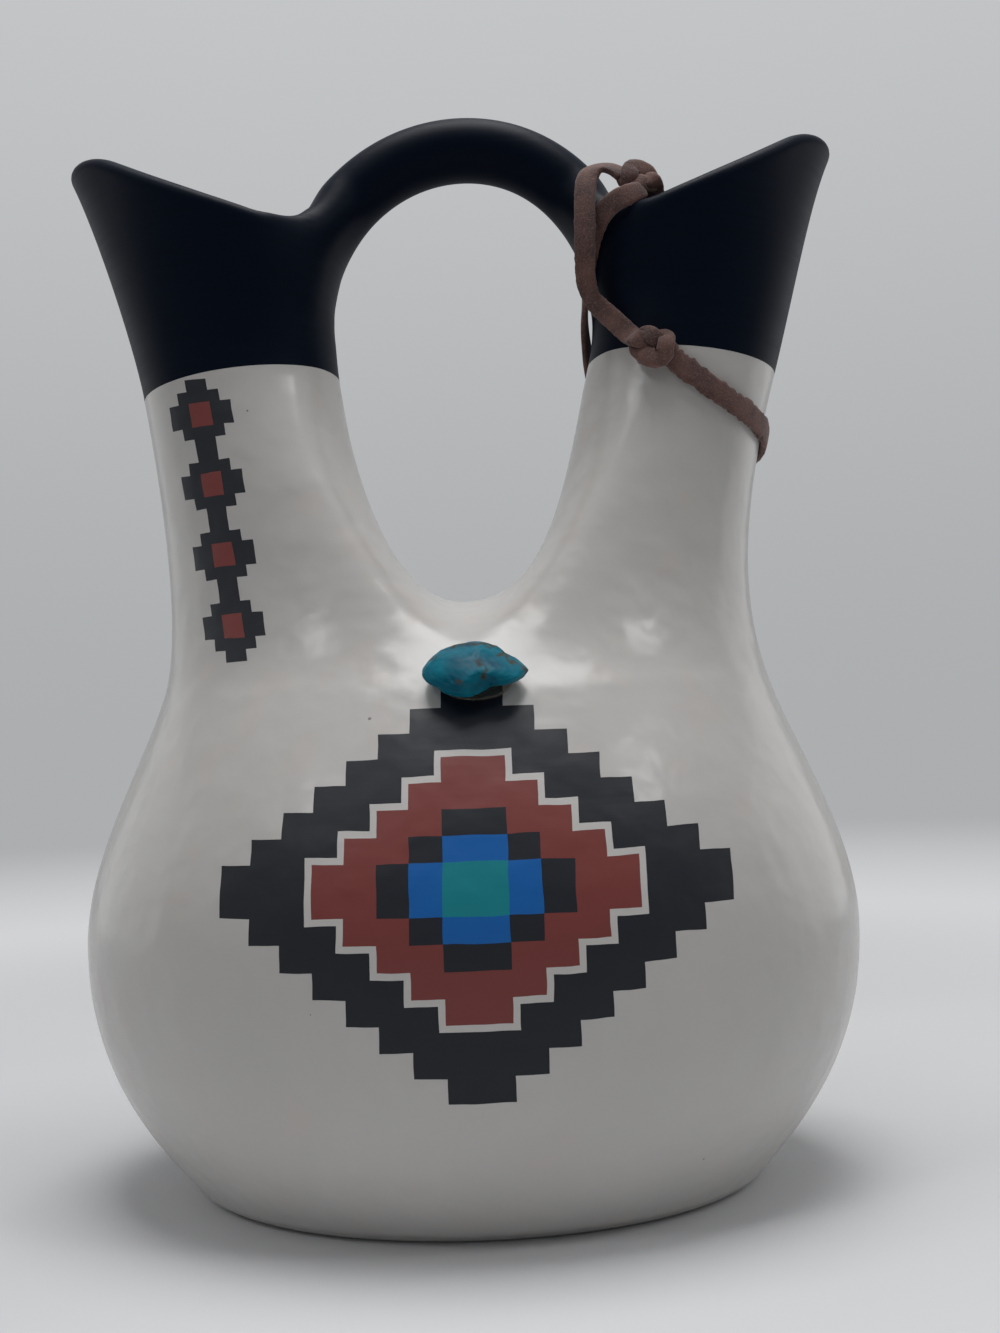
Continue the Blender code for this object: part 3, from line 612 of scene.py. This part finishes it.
# %% Loft the strip
LACE_SIDES, EDGE_ROUNDNESS = 20, 0.55
KNOT_THICK, KNOT_WIDE = 1.9, 3.9
EDGE_FRAY, WORN_FRAY, FRAY_FROM, WORN_SPREAD = 0.2, 0.65, 0.75, 0.08
FRAY_ALONG, FRAY_AROUND, FRAY_SEED = 0.5, 0.45, 5.0
WIDTH_WANDER, WANDER_RATE, WANDER_SEED = 0.08, 0.16, (0.4, 2.0)
END_RINGS, END_TAPER = 4, 0.45
WORN_LOW, WORN_HIGH = 165.0, 183.5
turns = np.linspace(0, 2 * math.pi, LACE_SIDES, endpoint=False)
profile_x = np.sign(np.cos(turns)) * np.abs(np.cos(turns)) ** EDGE_ROUNDNESS
profile_y = np.sign(np.sin(turns)) * np.abs(np.sin(turns)) ** EDGE_ROUNDNESS
store, rings = [], []
last = len(lace_line) - 1
for i in range(last + 1):
    ahead = lace_line[min(i + 1, last)] - lace_line[max(i - 1, 0)]
    ahead /= np.linalg.norm(ahead)
    across = np.cross(ahead, lace_facing[i])
    across /= np.linalg.norm(across)
    up = np.cross(across, ahead)
    wander = 1 + WIDTH_WANDER * noise.noise(Vector((i * LACE_STEP * WANDER_RATE, *WANDER_SEED)))
    worn = lace_line[i][1] < 0 and WORN_LOW < lace_line[i][2] < WORN_HIGH
    wide = (LACE_WIDTH + (KNOT_WIDE - LACE_WIDTH) * squeeze[i]) * (wander + WORN_SPREAD * worn) / 2
    thick = (LACE_THICKNESS + (KNOT_THICK - LACE_THICKNESS) * squeeze[i]) / 2
    fray = np.array([noise.noise(Vector((i * FRAY_ALONG, j * FRAY_AROUND, FRAY_SEED)))
                     for j in range(LACE_SIDES)])
    fray *= (WORN_FRAY if worn else EDGE_FRAY) * (np.abs(profile_x) > FRAY_FROM)
    fray *= np.sign(profile_x)
    end = 1 - END_TAPER * max(0, 1 - min(i, last - i) / END_RINGS) ** 2
    rings.append(add_points(store, lace_line[i] + np.outer((profile_x * wide + fray) * end, across)
                            + np.outer(profile_y * thick * end, up)))
lace = new_tube("leather_lace", np.vstack(store), rings)
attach(lace, "root")
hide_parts("lace_front_strand", "lace_front_knot", "lace_neck_loop", "lace_top_knot",
            "lace_tail")
print("lace faces:", len(lace.data.polygons))

# %% [markdown]
# ## The stone
# The nugget is tumbled turquoise: broken from its matrix, rounded in a drum and left with shallow
# pits. An icosphere has even triangles all over, so it takes small dents well. Each of its points
# is moved out to the stone's outline, as seen from the front, and bulges by its depth. The stone
# leans back with the wall that it is glued to, so its depth is sheared by the wall's slope.

# %% Shape the stone
STONE_OUTLINE_MM = [
    (10.7, -0.5), (9.1, 1.3), (6.3, 3.3), (3.9, 5.1), (0.7, 5.9), (-2.1, 5.7), (-4.5, 5.1),
    (-6.9, 4.3), (-8.9, 2.5), (-10.3, 0.5), (-10.5, -0.9), (-9.7, -2.3), (-7.3, -3.7), (-5.3, -5.1),
    (-2.9, -5.6), (1.1, -4.9), (3.1, -3.7), (5.1, -3.5), (7.5, -3.1), (9.9, -1.9),
]
STONE_MIDDLE_MM, STONE_LEAN = (2.75, -47.5, 112.4), math.radians(37)
STONE_BULGE, STONE_BACK, STONE_FULLNESS, STONE_SPLITS = 5.6, 4.0, 0.8, 6
STONE_CUTS = [((0.62, 0.30, 0.72), 0.80), ((-0.45, 0.55, 0.70), 0.88), ((0.15, -0.66, 0.74), 0.84),
              ((-0.62, -0.2, 0.76), 0.86)]
CUT_SHARE, SWELL, SWELL_RATE, SWELL_SEED = 0.75, 0.05, 2.3, (3.7, 1.3, 8.1)
PITS, PIT_RATE, TINY = 0.018, 8, 1e-6
outline = np.array(STONE_OUTLINE_MM)
outline_turn = np.arctan2(outline[:, 1], outline[:, 0])
order = np.argsort(outline_turn)
outline_turn, outline_reach = outline_turn[order], np.linalg.norm(outline, axis=1)[order]
gem = bmesh.new()
bmesh.ops.create_icosphere(gem, subdivisions=STONE_SPLITS, radius=1)
for v in gem.verts:
    place = v.co.copy()
    for direction, depth in STONE_CUTS:
        direction = Vector(direction).normalized()
        place -= direction * max(0, place.dot(direction) - depth) * CUT_SHARE
    place *= (1 + SWELL * noise.noise(v.co * SWELL_RATE + Vector(SWELL_SEED))
              + PITS * noise.noise(v.co * PIT_RATE))
    reach = np.interp(math.atan2(v.co.y, v.co.x), outline_turn, outline_reach, period=2 * math.pi)
    flat = math.hypot(place.x, place.y)
    spread = reach * flat ** STONE_FULLNESS / max(flat, TINY)
    across, upward = place.x * spread, place.y * spread
    bulge = place.z * (STONE_BULGE if place.z > 0 else STONE_BACK)
    leaning = Vector((across, upward * math.tan(STONE_LEAN) - bulge, upward))
    v.co = (Vector(STONE_MIDDLE_MM) + leaning) * MM
bmesh.ops.recalc_face_normals(gem, faces=gem.faces)
stone_data = bpy.data.meshes.new("turquoise_stone")
gem.to_mesh(stone_data)
gem.free()
stone_data.shade_smooth()
stone = add_object("turquoise_stone", stone_data)
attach(stone, "root")
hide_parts("turquoise_nugget")

# %% [markdown]
# ## Colours and nodes
# Colours are written as sRGB hex values, as a picker shows them, and turned to linear light by one
# function. Another adds a node with its settings. Inputs that are given as sockets are linked, and
# the others are set.


# %% Helpers for materials
def linear(hex_colour):
    parts = [int(hex_colour[i:i + 2], 16) / 255 for i in (1, 3, 5)]
    return [p / 12.92 if p <= 0.04045 else ((p + 0.055) / 1.055) ** 2.4 for p in parts] + [1.0]


def wire(made, inputs):
    """Links a node's inputs that are given as sockets and sets the others."""
    for key, value in inputs.items():
        if isinstance(value, bpy.types.NodeSocket):
            made.id_data.links.new(value, made.inputs[key])
        else:
            made.inputs[key].default_value = value


def node(tree, kind, inputs=None, **settings):
    """Adds a shader node, such as "Math" for a ShaderNodeMath, and wires its inputs."""
    made = tree.nodes.new("ShaderNode" + kind)
    for name, value in settings.items():
        setattr(made, name, value)
    wire(made, inputs or {})
    return made


def new_material(name):
    """A material with its node tree, its shader and the object's own coordinates in mm."""
    made = bpy.data.materials.new(name)
    made.use_nodes = True
    tree = made.node_tree
    place = node(tree, "TexCoord").outputs["Object"]
    in_mm = node(tree, "VectorMath", {0: place, "Scale": 1 / MM}, operation="SCALE").outputs[0]
    return made, tree, tree.nodes["Principled BSDF"], in_mm


def clouded(tree, in_mm, start, end, size, detail, low=0.0, high=1.0):
    """A colour that drifts from one to another over a range of noise, in clouds of a size in mm."""
    cloud = node(tree, "TexNoise", {"Vector": in_mm, "Scale": 1 / size, "Detail": detail})
    share = node(tree, "MapRange", {"Value": cloud.outputs["Fac"], "From Min": low,
                 "From Max": high}).outputs["Result"]
    return node(tree, "Mix", {"Factor": share, "A": linear(start), "B": linear(end)},
                data_type="RGBA").outputs["Result"]


# %% [markdown]
# ## White slip with painted bands
# White slip is liquid clay, brushed on and rubbed with a stone while it dries. That gives a satin
# sheen, brighter where the stone pressed harder, with fine grey specks of grit. The design is
# painted on it: a stepped lozenge on the front and a chain of small ones up the left neck, the
# steps of a woven textile. Both are drawn by position in mm, because an unwrapped map would stretch
# over the belly. Steps are counted from a middle point, so a band of paint is a range of counts.

# %% Count the steps
LOZENGE_MIDDLE, LOZENGE_STEP, LOZENGE_STEPS = (2.0, 70.5), (6.2, 4.9), 8
WHITE_LINE, WHITE_LINE_RING = 1.3, 4.5
CHAIN_PERIOD, CHAIN_STEP, CHAIN_STEPS = 16.2, (2.5, 2.7), 2.5
CHAIN_LOW, CHAIN_HIGH, CHAIN_FOOT_X, CHAIN_LEAN = 117.0, 181.8, -48.5, -0.155
HAND_WOBBLE, WOBBLE_SIZE = 0.7, 8.0
NOISE_MIDDLE, HALF_STEP = 0.5, 0.5

slipware, tree, shader, in_mm = new_material("stone_rubbed_white_slip")
hand = node(tree, "TexNoise", {"Vector": in_mm, "Scale": 1 / WOBBLE_SIZE, "Detail": 1.0})
hand_off = node(tree, "VectorMath", {0: hand.outputs["Color"], 1: (NOISE_MIDDLE,) * 3},
                operation="SUBTRACT").outputs[0]
drawn = node(tree, "VectorMath", {0: hand_off, 1: (HAND_WOBBLE,) * 3, 2: in_mm},
             operation="MULTIPLY_ADD").outputs[0]
x, y, z = node(tree, "SeparateXYZ", {0: drawn}).outputs


def stepped(places, middles, steps, inset=0.0):
    """Whole steps out from a middle point, counted across and up together, with an inset in mm."""
    counts = []
    for value, middle, step in zip(places, middles, steps):
        for operation, operand in (("SUBTRACT", middle), ("ABSOLUTE", 0.0), ("SUBTRACT", inset),
                                   ("MAXIMUM", 0.0), ("DIVIDE", step), ("FLOOR", 0.0)):
            value = node(tree, "Math", {0: value, 1: operand}, operation=operation).outputs[0]
        counts.append(value)
    return node(tree, "Math", {0: counts[0], 1: counts[1]}, operation="ADD").outputs[0]


ring = stepped((x, z), LOZENGE_MIDDLE, LOZENGE_STEP)
inset_ring = stepped((x, z), LOZENGE_MIDDLE, LOZENGE_STEP, WHITE_LINE)
up_chain = node(tree, "Math", {0: z, 1: CHAIN_LOW}, operation="SUBTRACT").outputs[0]
lean = node(tree, "Math", {0: up_chain, 1: CHAIN_LEAN, 2: CHAIN_FOOT_X},
            operation="MULTIPLY_ADD").outputs[0]
in_period = node(tree, "Math", {0: up_chain, 1: CHAIN_PERIOD},
                 operation="FLOORED_MODULO").outputs[0]
chain_ring = stepped((x, in_period), (lean, CHAIN_PERIOD / 2), CHAIN_STEP)

# %% Where each paint lies
on_front = node(tree, "Math", {0: y, 1: 0.0}, operation="LESS_THAN").outputs[0]


def front_mask(*tests):
    """1 on the vase's front where every test of a value against a limit holds, and 0 elsewhere."""
    mask = on_front
    for value, operation, limit in tests:
        test = node(tree, "Math", {0: value, 1: limit}, operation=operation).outputs[0]
        mask = node(tree, "Math", {0: mask, 1: test}, operation="MULTIPLY").outputs[0]
    return mask


in_lozenge = front_mask((ring, "LESS_THAN", LOZENGE_STEPS - HALF_STEP))
on_line = front_mask((ring, "GREATER_THAN", WHITE_LINE_RING),
                     (inset_ring, "LESS_THAN", WHITE_LINE_RING))
in_chain = front_mask((chain_ring, "LESS_THAN", CHAIN_STEPS), (z, "GREATER_THAN", CHAIN_LOW),
                      (z, "LESS_THAN", CHAIN_HIGH))
in_heart = front_mask((chain_ring, "LESS_THAN", HALF_STEP))
print("nodes that place the paint:", len(tree.nodes))

# %% Layer the colours
SLIP_WHITE, SLIP_SHADE, SLIP_WARM, SPECK_GREY = "#d0cdca", "#c4c2bf", "#cdc5bf", "#8d8a87"
PAINT_BLACK, PAINT_TERRACOTTA, PAINT_BLUE, PAINT_TEAL = "#060c18", "#7d3b37", "#0b62b0", "#0c8590"
LOZENGE_BANDS = [PAINT_TEAL, PAINT_BLUE, PAINT_BLACK, PAINT_TERRACOTTA, PAINT_TERRACOTTA,
                 PAINT_BLACK, PAINT_BLACK, PAINT_BLACK]
STAIN_SIZE, STAIN_FROM, STAIN_TO, STAIN_COVER = 11.0, 0.5, 0.75, 0.6
SPECK_SPACING, SPECK_GROWTH, SPECK_START = 9.0, 0.1, -0.055

share = node(tree, "Math", {0: ring, 1: HALF_STEP}, operation="ADD").outputs[0]
share = node(tree, "Math", {0: share, 1: LOZENGE_STEPS}, operation="DIVIDE").outputs[0]
bands = node(tree, "ValToRGB", {"Fac": share})
ramp = bands.color_ramp
ramp.interpolation = "CONSTANT"
for i, hex_colour in enumerate(LOZENGE_BANDS):
    stop = ramp.elements[i] if i < 2 else ramp.elements.new(i / LOZENGE_STEPS)
    stop.position = i / LOZENGE_STEPS
    stop.color = linear(hex_colour)
colour = clouded(tree, in_mm, SLIP_WHITE, SLIP_SHADE, size=35.0, detail=3.0)
stain = node(tree, "TexNoise", {"Vector": in_mm, "Scale": 1 / STAIN_SIZE, "Detail": 4.0})
stain = node(tree, "MapRange", {"Value": stain.outputs["Fac"], "From Min": STAIN_FROM,
             "From Max": STAIN_TO, "To Max": STAIN_COVER}).outputs["Result"]
grit = node(tree, "TexVoronoi", {"Vector": in_mm, "Scale": 1 / SPECK_SPACING})
rare = node(tree, "SeparateColor", {0: grit.outputs["Color"]}).outputs[0]
speck_size = node(tree, "Math", {0: rare, 1: SPECK_GROWTH, 2: SPECK_START},
                  operation="MULTIPLY_ADD").outputs[0]
speck = node(tree, "Math", {0: grit.outputs["Distance"], 1: speck_size},
             operation="LESS_THAN").outputs[0]
heart = node(tree, "Mix", {"Factor": in_heart, "A": linear(PAINT_BLACK),
             "B": linear(PAINT_TERRACOTTA)}, data_type="RGBA").outputs["Result"]
for cover, paint in ((stain, linear(SLIP_WARM)), (speck, linear(SPECK_GREY)),
                     (in_lozenge, bands.outputs["Color"]), (on_line, linear(SLIP_WHITE)),
                     (in_chain, heart)):
    colour = node(tree, "Mix", {"Factor": cover, "A": colour, "B": paint},
                  data_type="RGBA").outputs["Result"]

# %% Set the sheen
SLIP_ROUGH, POLISH_ROUGH, POLISH_SIZE, SLIP_GLOSS = 0.23, 0.1, 9.0, 0.35
RUB_SIZE, RUB_DEPTH = 8.0, 0.45
STROKE_WIDTH, STROKE_LENGTH, STROKE_DEPTH = 0.9, 30.0, 0.02
PAINT_ROUGH, STROKE_ROUGH = 0.45, 0.14


def brush_strokes(tree, in_mm):
    """Streaks of a brush that was drawn round the pot, and the paint's roughness in them."""
    rates = (1 / STROKE_LENGTH, 1 / STROKE_LENGTH, 1 / STROKE_WIDTH)
    flat = node(tree, "VectorMath", {0: in_mm, 1: rates}, operation="MULTIPLY").outputs[0]
    stroke = node(tree, "TexNoise", {"Vector": flat, "Scale": 1.0, "Detail": 4.0}).outputs["Fac"]
    rough = node(tree, "Math", {0: stroke, 1: STROKE_ROUGH, 2: PAINT_ROUGH - STROKE_ROUGH / 2},
                 operation="MULTIPLY_ADD").outputs[0]
    return stroke, rough


stroke, paint_rough = brush_strokes(tree, in_mm)
painted = node(tree, "Math", {0: in_lozenge, 1: in_chain}, operation="MAXIMUM").outputs[0]
polish = node(tree, "TexNoise", {"Vector": in_mm, "Scale": 1 / POLISH_SIZE, "Detail": 4.0})
slip_rough = node(tree, "Math", {0: polish.outputs["Fac"], 1: POLISH_ROUGH,
                  2: SLIP_ROUGH - POLISH_ROUGH / 2}, operation="MULTIPLY_ADD").outputs[0]
rough = node(tree, "Mix", {"Factor": painted, "A": slip_rough, "B": paint_rough})
rub = node(tree, "TexNoise", {"Vector": in_mm, "Scale": 1 / RUB_SIZE, "Detail": 1.5})
ripple = node(tree, "Bump", {"Height": rub.outputs["Fac"], "Distance": RUB_DEPTH * MM})
bump = node(tree, "Bump", {"Height": stroke, "Strength": painted, "Distance": STROKE_DEPTH * MM,
            "Normal": ripple.outputs["Normal"]})
wire(shader, {"Base Color": colour, "Roughness": rough.outputs["Result"],
     "Normal": bump.outputs["Normal"], "Specular IOR Level": SLIP_GLOSS})
vase.data.materials[0] = slipware
print("nodes in the slipware:", len(tree.nodes))

# %% [markdown]
# ## Satin black paint
# Above the collar lines the spouts and the handle are painted black. The paint is thin, bluish and
# nearly matt, so it gives soft grey bands where it turns away and faint brush strokes in them. Its
# gloss is lower than that of the slip, so it is a material of its own, on the faces above the
# loft's paint rings.

# %% Black paint with brush strokes
SPOUT_BLACK, SPOUT_BLACK_WORN, PAINT_GLOSS = "#020a16", "#071121", 0.05
black_paint, tree, shader, in_mm = new_material("brushed_black_paint")
stroke, rough = brush_strokes(tree, in_mm)
body = node(tree, "Mix", {"Factor": stroke, "A": linear(SPOUT_BLACK),
            "B": linear(SPOUT_BLACK_WORN)}, data_type="RGBA")
bump = node(tree, "Bump", {"Height": stroke, "Distance": STROKE_DEPTH * MM})
wire(shader, {"Base Color": body.outputs["Result"], "Roughness": rough,
     "Normal": bump.outputs["Normal"], "Specular IOR Level": PAINT_GLOSS})
vase.data.materials[1] = black_paint
print("nodes in the black paint:", len(tree.nodes))

# %% [markdown]
# ## Turquoise, suede and glue
# Turquoise is a waxy blue-green stone with brown spots and veins of its matrix. The veins run along
# the borders of Voronoi cells, bent by noise, and only in patches. Suede is the flesh side of
# leather: matt and fibrous, darker where hands have polished it. The glue is set clear resin that
# has yellowed a little.

# %% Turquoise
TURQUOISE, TURQUOISE_DEEP, MATRIX_BROWN = "#067488", "#034a60", "#4a4234"
VEIN_SPACING, VEIN_CORE, VEIN_EDGE, VEIN_BEND, VEIN_BEND_SIZE = 7.0, 0.02, 0.12, 6.0, 4.0
PATCH_SIZE, PATCH_FROM, PATCH_TO = 6.0, 0.52, 0.58
STONE_ROUGH, MATRIX_ROUGH, STONE_GLOSS = 0.42, 0.3, 0.12
PIT_SIZE, PIT_STRENGTH, PIT_DEPTH = 0.8, 0.25, 0.2
turquoise, tree, shader, in_mm = new_material("tumbled_turquoise")
body = clouded(tree, in_mm, TURQUOISE_DEEP, TURQUOISE, size=5.0, detail=4.0, low=0.3, high=0.7)
bent = node(tree, "TexNoise", {"Vector": in_mm, "Scale": 1 / VEIN_BEND_SIZE, "Detail": 3.0})
bent = node(tree, "VectorMath", {0: bent.outputs["Color"], 1: (VEIN_BEND,) * 3, 2: in_mm},
            operation="MULTIPLY_ADD").outputs[0]
crack = node(tree, "TexVoronoi", {"Vector": bent, "Scale": 1 / VEIN_SPACING},
             feature="DISTANCE_TO_EDGE").outputs["Distance"]
vein = node(tree, "MapRange", {"Value": crack, "From Min": VEIN_CORE, "From Max": VEIN_EDGE,
            "To Min": 1.0, "To Max": 0.0}).outputs["Result"]
patch = node(tree, "TexNoise", {"Vector": in_mm, "Scale": 1 / PATCH_SIZE, "Detail": 2.0})
patch = node(tree, "MapRange", {"Value": patch.outputs["Fac"], "From Min": PATCH_FROM,
             "From Max": PATCH_TO}).outputs["Result"]
vein = node(tree, "Math", {0: vein, 1: patch}, operation="MULTIPLY").outputs[0]
body = node(tree, "Mix", {"Factor": vein, "A": body, "B": linear(MATRIX_BROWN)}, data_type="RGBA")
rough = node(tree, "Math", {0: vein, 1: MATRIX_ROUGH, 2: STONE_ROUGH}, operation="MULTIPLY_ADD")
pits = node(tree, "TexNoise", {"Vector": in_mm, "Scale": 1 / PIT_SIZE, "Detail": 3.0})
bump = node(tree, "Bump", {"Height": pits.outputs["Fac"], "Strength": PIT_STRENGTH,
            "Distance": PIT_DEPTH * MM})
wire(shader, {"Base Color": body.outputs["Result"], "Roughness": rough.outputs[0],
     "Normal": bump.outputs["Normal"], "Specular IOR Level": STONE_GLOSS})
stone.data.materials.append(turquoise)
print("nodes in the turquoise:", len(tree.nodes))

# %% Suede
SUEDE_BROWN, SUEDE_DARK, SUEDE_WORN = "#6b4c45", "#3c2a28", "#88685d"
FIBRE_SIZE, FIBRE_STRENGTH, FIBRE_DEPTH, TUFT_FROM, TUFT_TO = 0.4, 0.45, 0.3, 0.48, 0.88
SUEDE_ROUGH, SUEDE_SHEEN = 0.85, 0.15
suede, tree, shader, in_mm = new_material("brown_suede")
body = clouded(tree, in_mm, SUEDE_DARK, SUEDE_BROWN, size=5.0, detail=3.0, low=0.3, high=0.65)
fibre = node(tree, "TexNoise", {"Vector": in_mm, "Scale": 1 / FIBRE_SIZE, "Detail": 4.0})
fibre = fibre.outputs["Fac"]
tuft = node(tree, "MapRange", {"Value": fibre, "From Min": TUFT_FROM, "From Max": TUFT_TO})
body = node(tree, "Mix", {"Factor": tuft.outputs["Result"], "A": body, "B": linear(SUEDE_WORN)},
            data_type="RGBA")
bump = node(tree, "Bump", {"Height": fibre, "Strength": FIBRE_STRENGTH,
            "Distance": FIBRE_DEPTH * MM})
wire(shader, {"Base Color": body.outputs["Result"], "Normal": bump.outputs["Normal"],
     "Roughness": SUEDE_ROUGH, "Sheen Weight": SUEDE_SHEEN})
lace.data.materials.append(suede)
print("nodes in the suede:", len(tree.nodes))

# %% Set glue
GLUE_CLEAR, GLUE_HAZE = "#b9b3a4", "#d6d0c2"
GLUE_ROUGH, GLUE_TRANSMISSION = 0.2, 0.85
resin, tree, shader, in_mm = new_material("set_clear_glue")
body = clouded(tree, in_mm, GLUE_CLEAR, GLUE_HAZE, size=1.5, detail=2.0)
wire(shader, {"Base Color": body, "Roughness": GLUE_ROUGH,
     "Transmission Weight": GLUE_TRANSMISSION})
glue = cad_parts["stone_glue"]
glue.data.materials.clear()
glue.data.materials.append(resin)
print("materials:", [m.name for m in bpy.data.materials if m.users])

# %% [markdown]
# ## Floor and light
# A light tent suits satin clay: pale cloth all round, a soft light from the top, two small ones
# high in front and a weak panel at each side. The world is the cloth, a little brighter overhead.
# The floor is a wide disc of matt paper whose rim fades to the cloth's grey, so no edge shows from
# any side: the rim glows as painted light, as bright as lit paper near the vase and darker far off.
# A curved sheet would hide the vase's back. The cloth is seen and mirrored at its full strength,
# but it lights the clay less, so the lamps give the form.

# %% A disc of paper that fades into the tent
CLOTH_LOW, CLOTH_HIGH, CLOTH_LIGHT = "#acaeb0", "#c8cacc", 0.22
PAPER_GREY, PAPER_ROUGH = "#e4e5e7", 0.8
TOOTH_PER_MM, TOOTH_STRENGTH, TOOTH_DEPTH = 0.9, 0.05, 0.1
FLOOR_RADIUS, FLOOR_BELOW, FLOOR_SIDES = 8000.0, 0.2, 96
CLOTH_FROM, CLOTH_TO, DUSK_FROM, DUSK_TO = 220.0, 600.0, -200.0, 1650.0
turns = np.linspace(0, 2 * math.pi, FLOOR_SIDES, endpoint=False)
points = columns(FLOOR_RADIUS * np.cos(turns), FLOOR_RADIUS * np.sin(turns), -FLOOR_BELOW)
paper = new_mesh("paper_floor", points, [list(range(FLOOR_SIDES))])


def cloth_strength(tree):
    """Full strength for rays that show the cloth, less for those that light the clay."""
    path = node(tree, "LightPath").outputs
    shown = path["Is Camera Ray"]
    for ray in ("Is Glossy Ray", "Is Transmission Ray"):
        shown = node(tree, "Math", {0: shown, 1: path[ray]}, operation="MAXIMUM").outputs[0]
    return node(tree, "MapRange", {"Value": shown, "To Min": CLOTH_LIGHT}).outputs["Result"]


sheet, tree, shader, in_mm = new_material("matt_paper")
tooth = node(tree, "TexNoise", {"Vector": in_mm, "Scale": TOOTH_PER_MM, "Detail": 2.0})
bump = node(tree, "Bump", {"Height": tooth.outputs["Fac"], "Strength": TOOTH_STRENGTH,
            "Distance": TOOTH_DEPTH * MM})
wire(shader, {"Base Color": linear(PAPER_GREY), "Roughness": PAPER_ROUGH,
     "Normal": bump.outputs["Normal"]})
# Past the paper's edge the floor glows: painted light, the grey of lit paper near the vase darkening
# to the cloth's grey far off.
away = node(tree, "VectorMath", {0: in_mm}, operation="LENGTH").outputs["Value"]
fade, dusk = (node(tree, "MapRange", {"Value": away, "From Min": near_mm, "From Max": far_mm},
                   interpolation_type="SMOOTHSTEP").outputs["Result"]
              for near_mm, far_mm in ((CLOTH_FROM, CLOTH_TO), (DUSK_FROM, DUSK_TO)))
far = node(tree, "Mix", {"Factor": dusk, "A": linear(PAPER_GREY), "B": linear(CLOTH_LOW)},
           data_type="RGBA").outputs["Result"]
cloth = node(tree, "Emission", {"Color": far, "Strength": cloth_strength(tree)}).outputs[0]
seen = node(tree, "MixShader", {0: fade, 1: shader.outputs[0], 2: cloth}).outputs[0]
wire(tree.nodes["Material Output"], {"Surface": seen})
paper.data.materials.append(sheet)
print("floor radius, mm:", FLOOR_RADIUS)

# %% Lamps and world
LAMP_AIM_MM = (0, 0, 120)
LAMPS = [
    ("overhead_softbox", (20, -40, 880), (480, 480), 4.8),
    ("front_left_softbox", (-580, -580, 850), (160, 160), 0.75),
    ("front_right_softbox", (670, -420, 870), (160, 160), 0.75),
    ("left_panel", (-700, 250, 230), (600, 440), 0.6),
    ("right_panel", (700, 250, 230), (600, 440), 0.8),
]
CLOTH_HIGH_AT = 0.7
for name, place_mm, size_mm, power in LAMPS:
    lamp = bpy.data.lights.new(name, "AREA")
    lamp.shape = "RECTANGLE"
    lamp.size, lamp.size_y = size_mm[0] * MM, size_mm[1] * MM
    lamp.energy = power
    made = add_object(name, lamp)
    made.location = Vector(place_mm) * MM
    aim = Vector(LAMP_AIM_MM) * MM - made.location
    made.rotation_euler = aim.to_track_quat("-Z", "Y").to_euler()
world = bpy.data.worlds.new("light_tent")
world.use_nodes = True
tree = world.node_tree
direction = node(tree, "TexCoord").outputs["Generated"]
height = node(tree, "SeparateXYZ", {0: direction}).outputs["Z"]
high = node(tree, "MapRange", {"Value": height, "From Max": CLOTH_HIGH_AT},
            interpolation_type="SMOOTHSTEP").outputs["Result"]
cloth = node(tree, "Mix", {"Factor": high, "A": linear(CLOTH_LOW), "B": linear(CLOTH_HIGH)},
             data_type="RGBA").outputs["Result"]
wire(tree.nodes["Background"], {"Color": cloth, "Strength": cloth_strength(tree)})
bpy.context.scene.world = world
bpy.context.scene.view_settings.view_transform = "Standard"
print("lamps:", [lamp[0] for lamp in LAMPS])
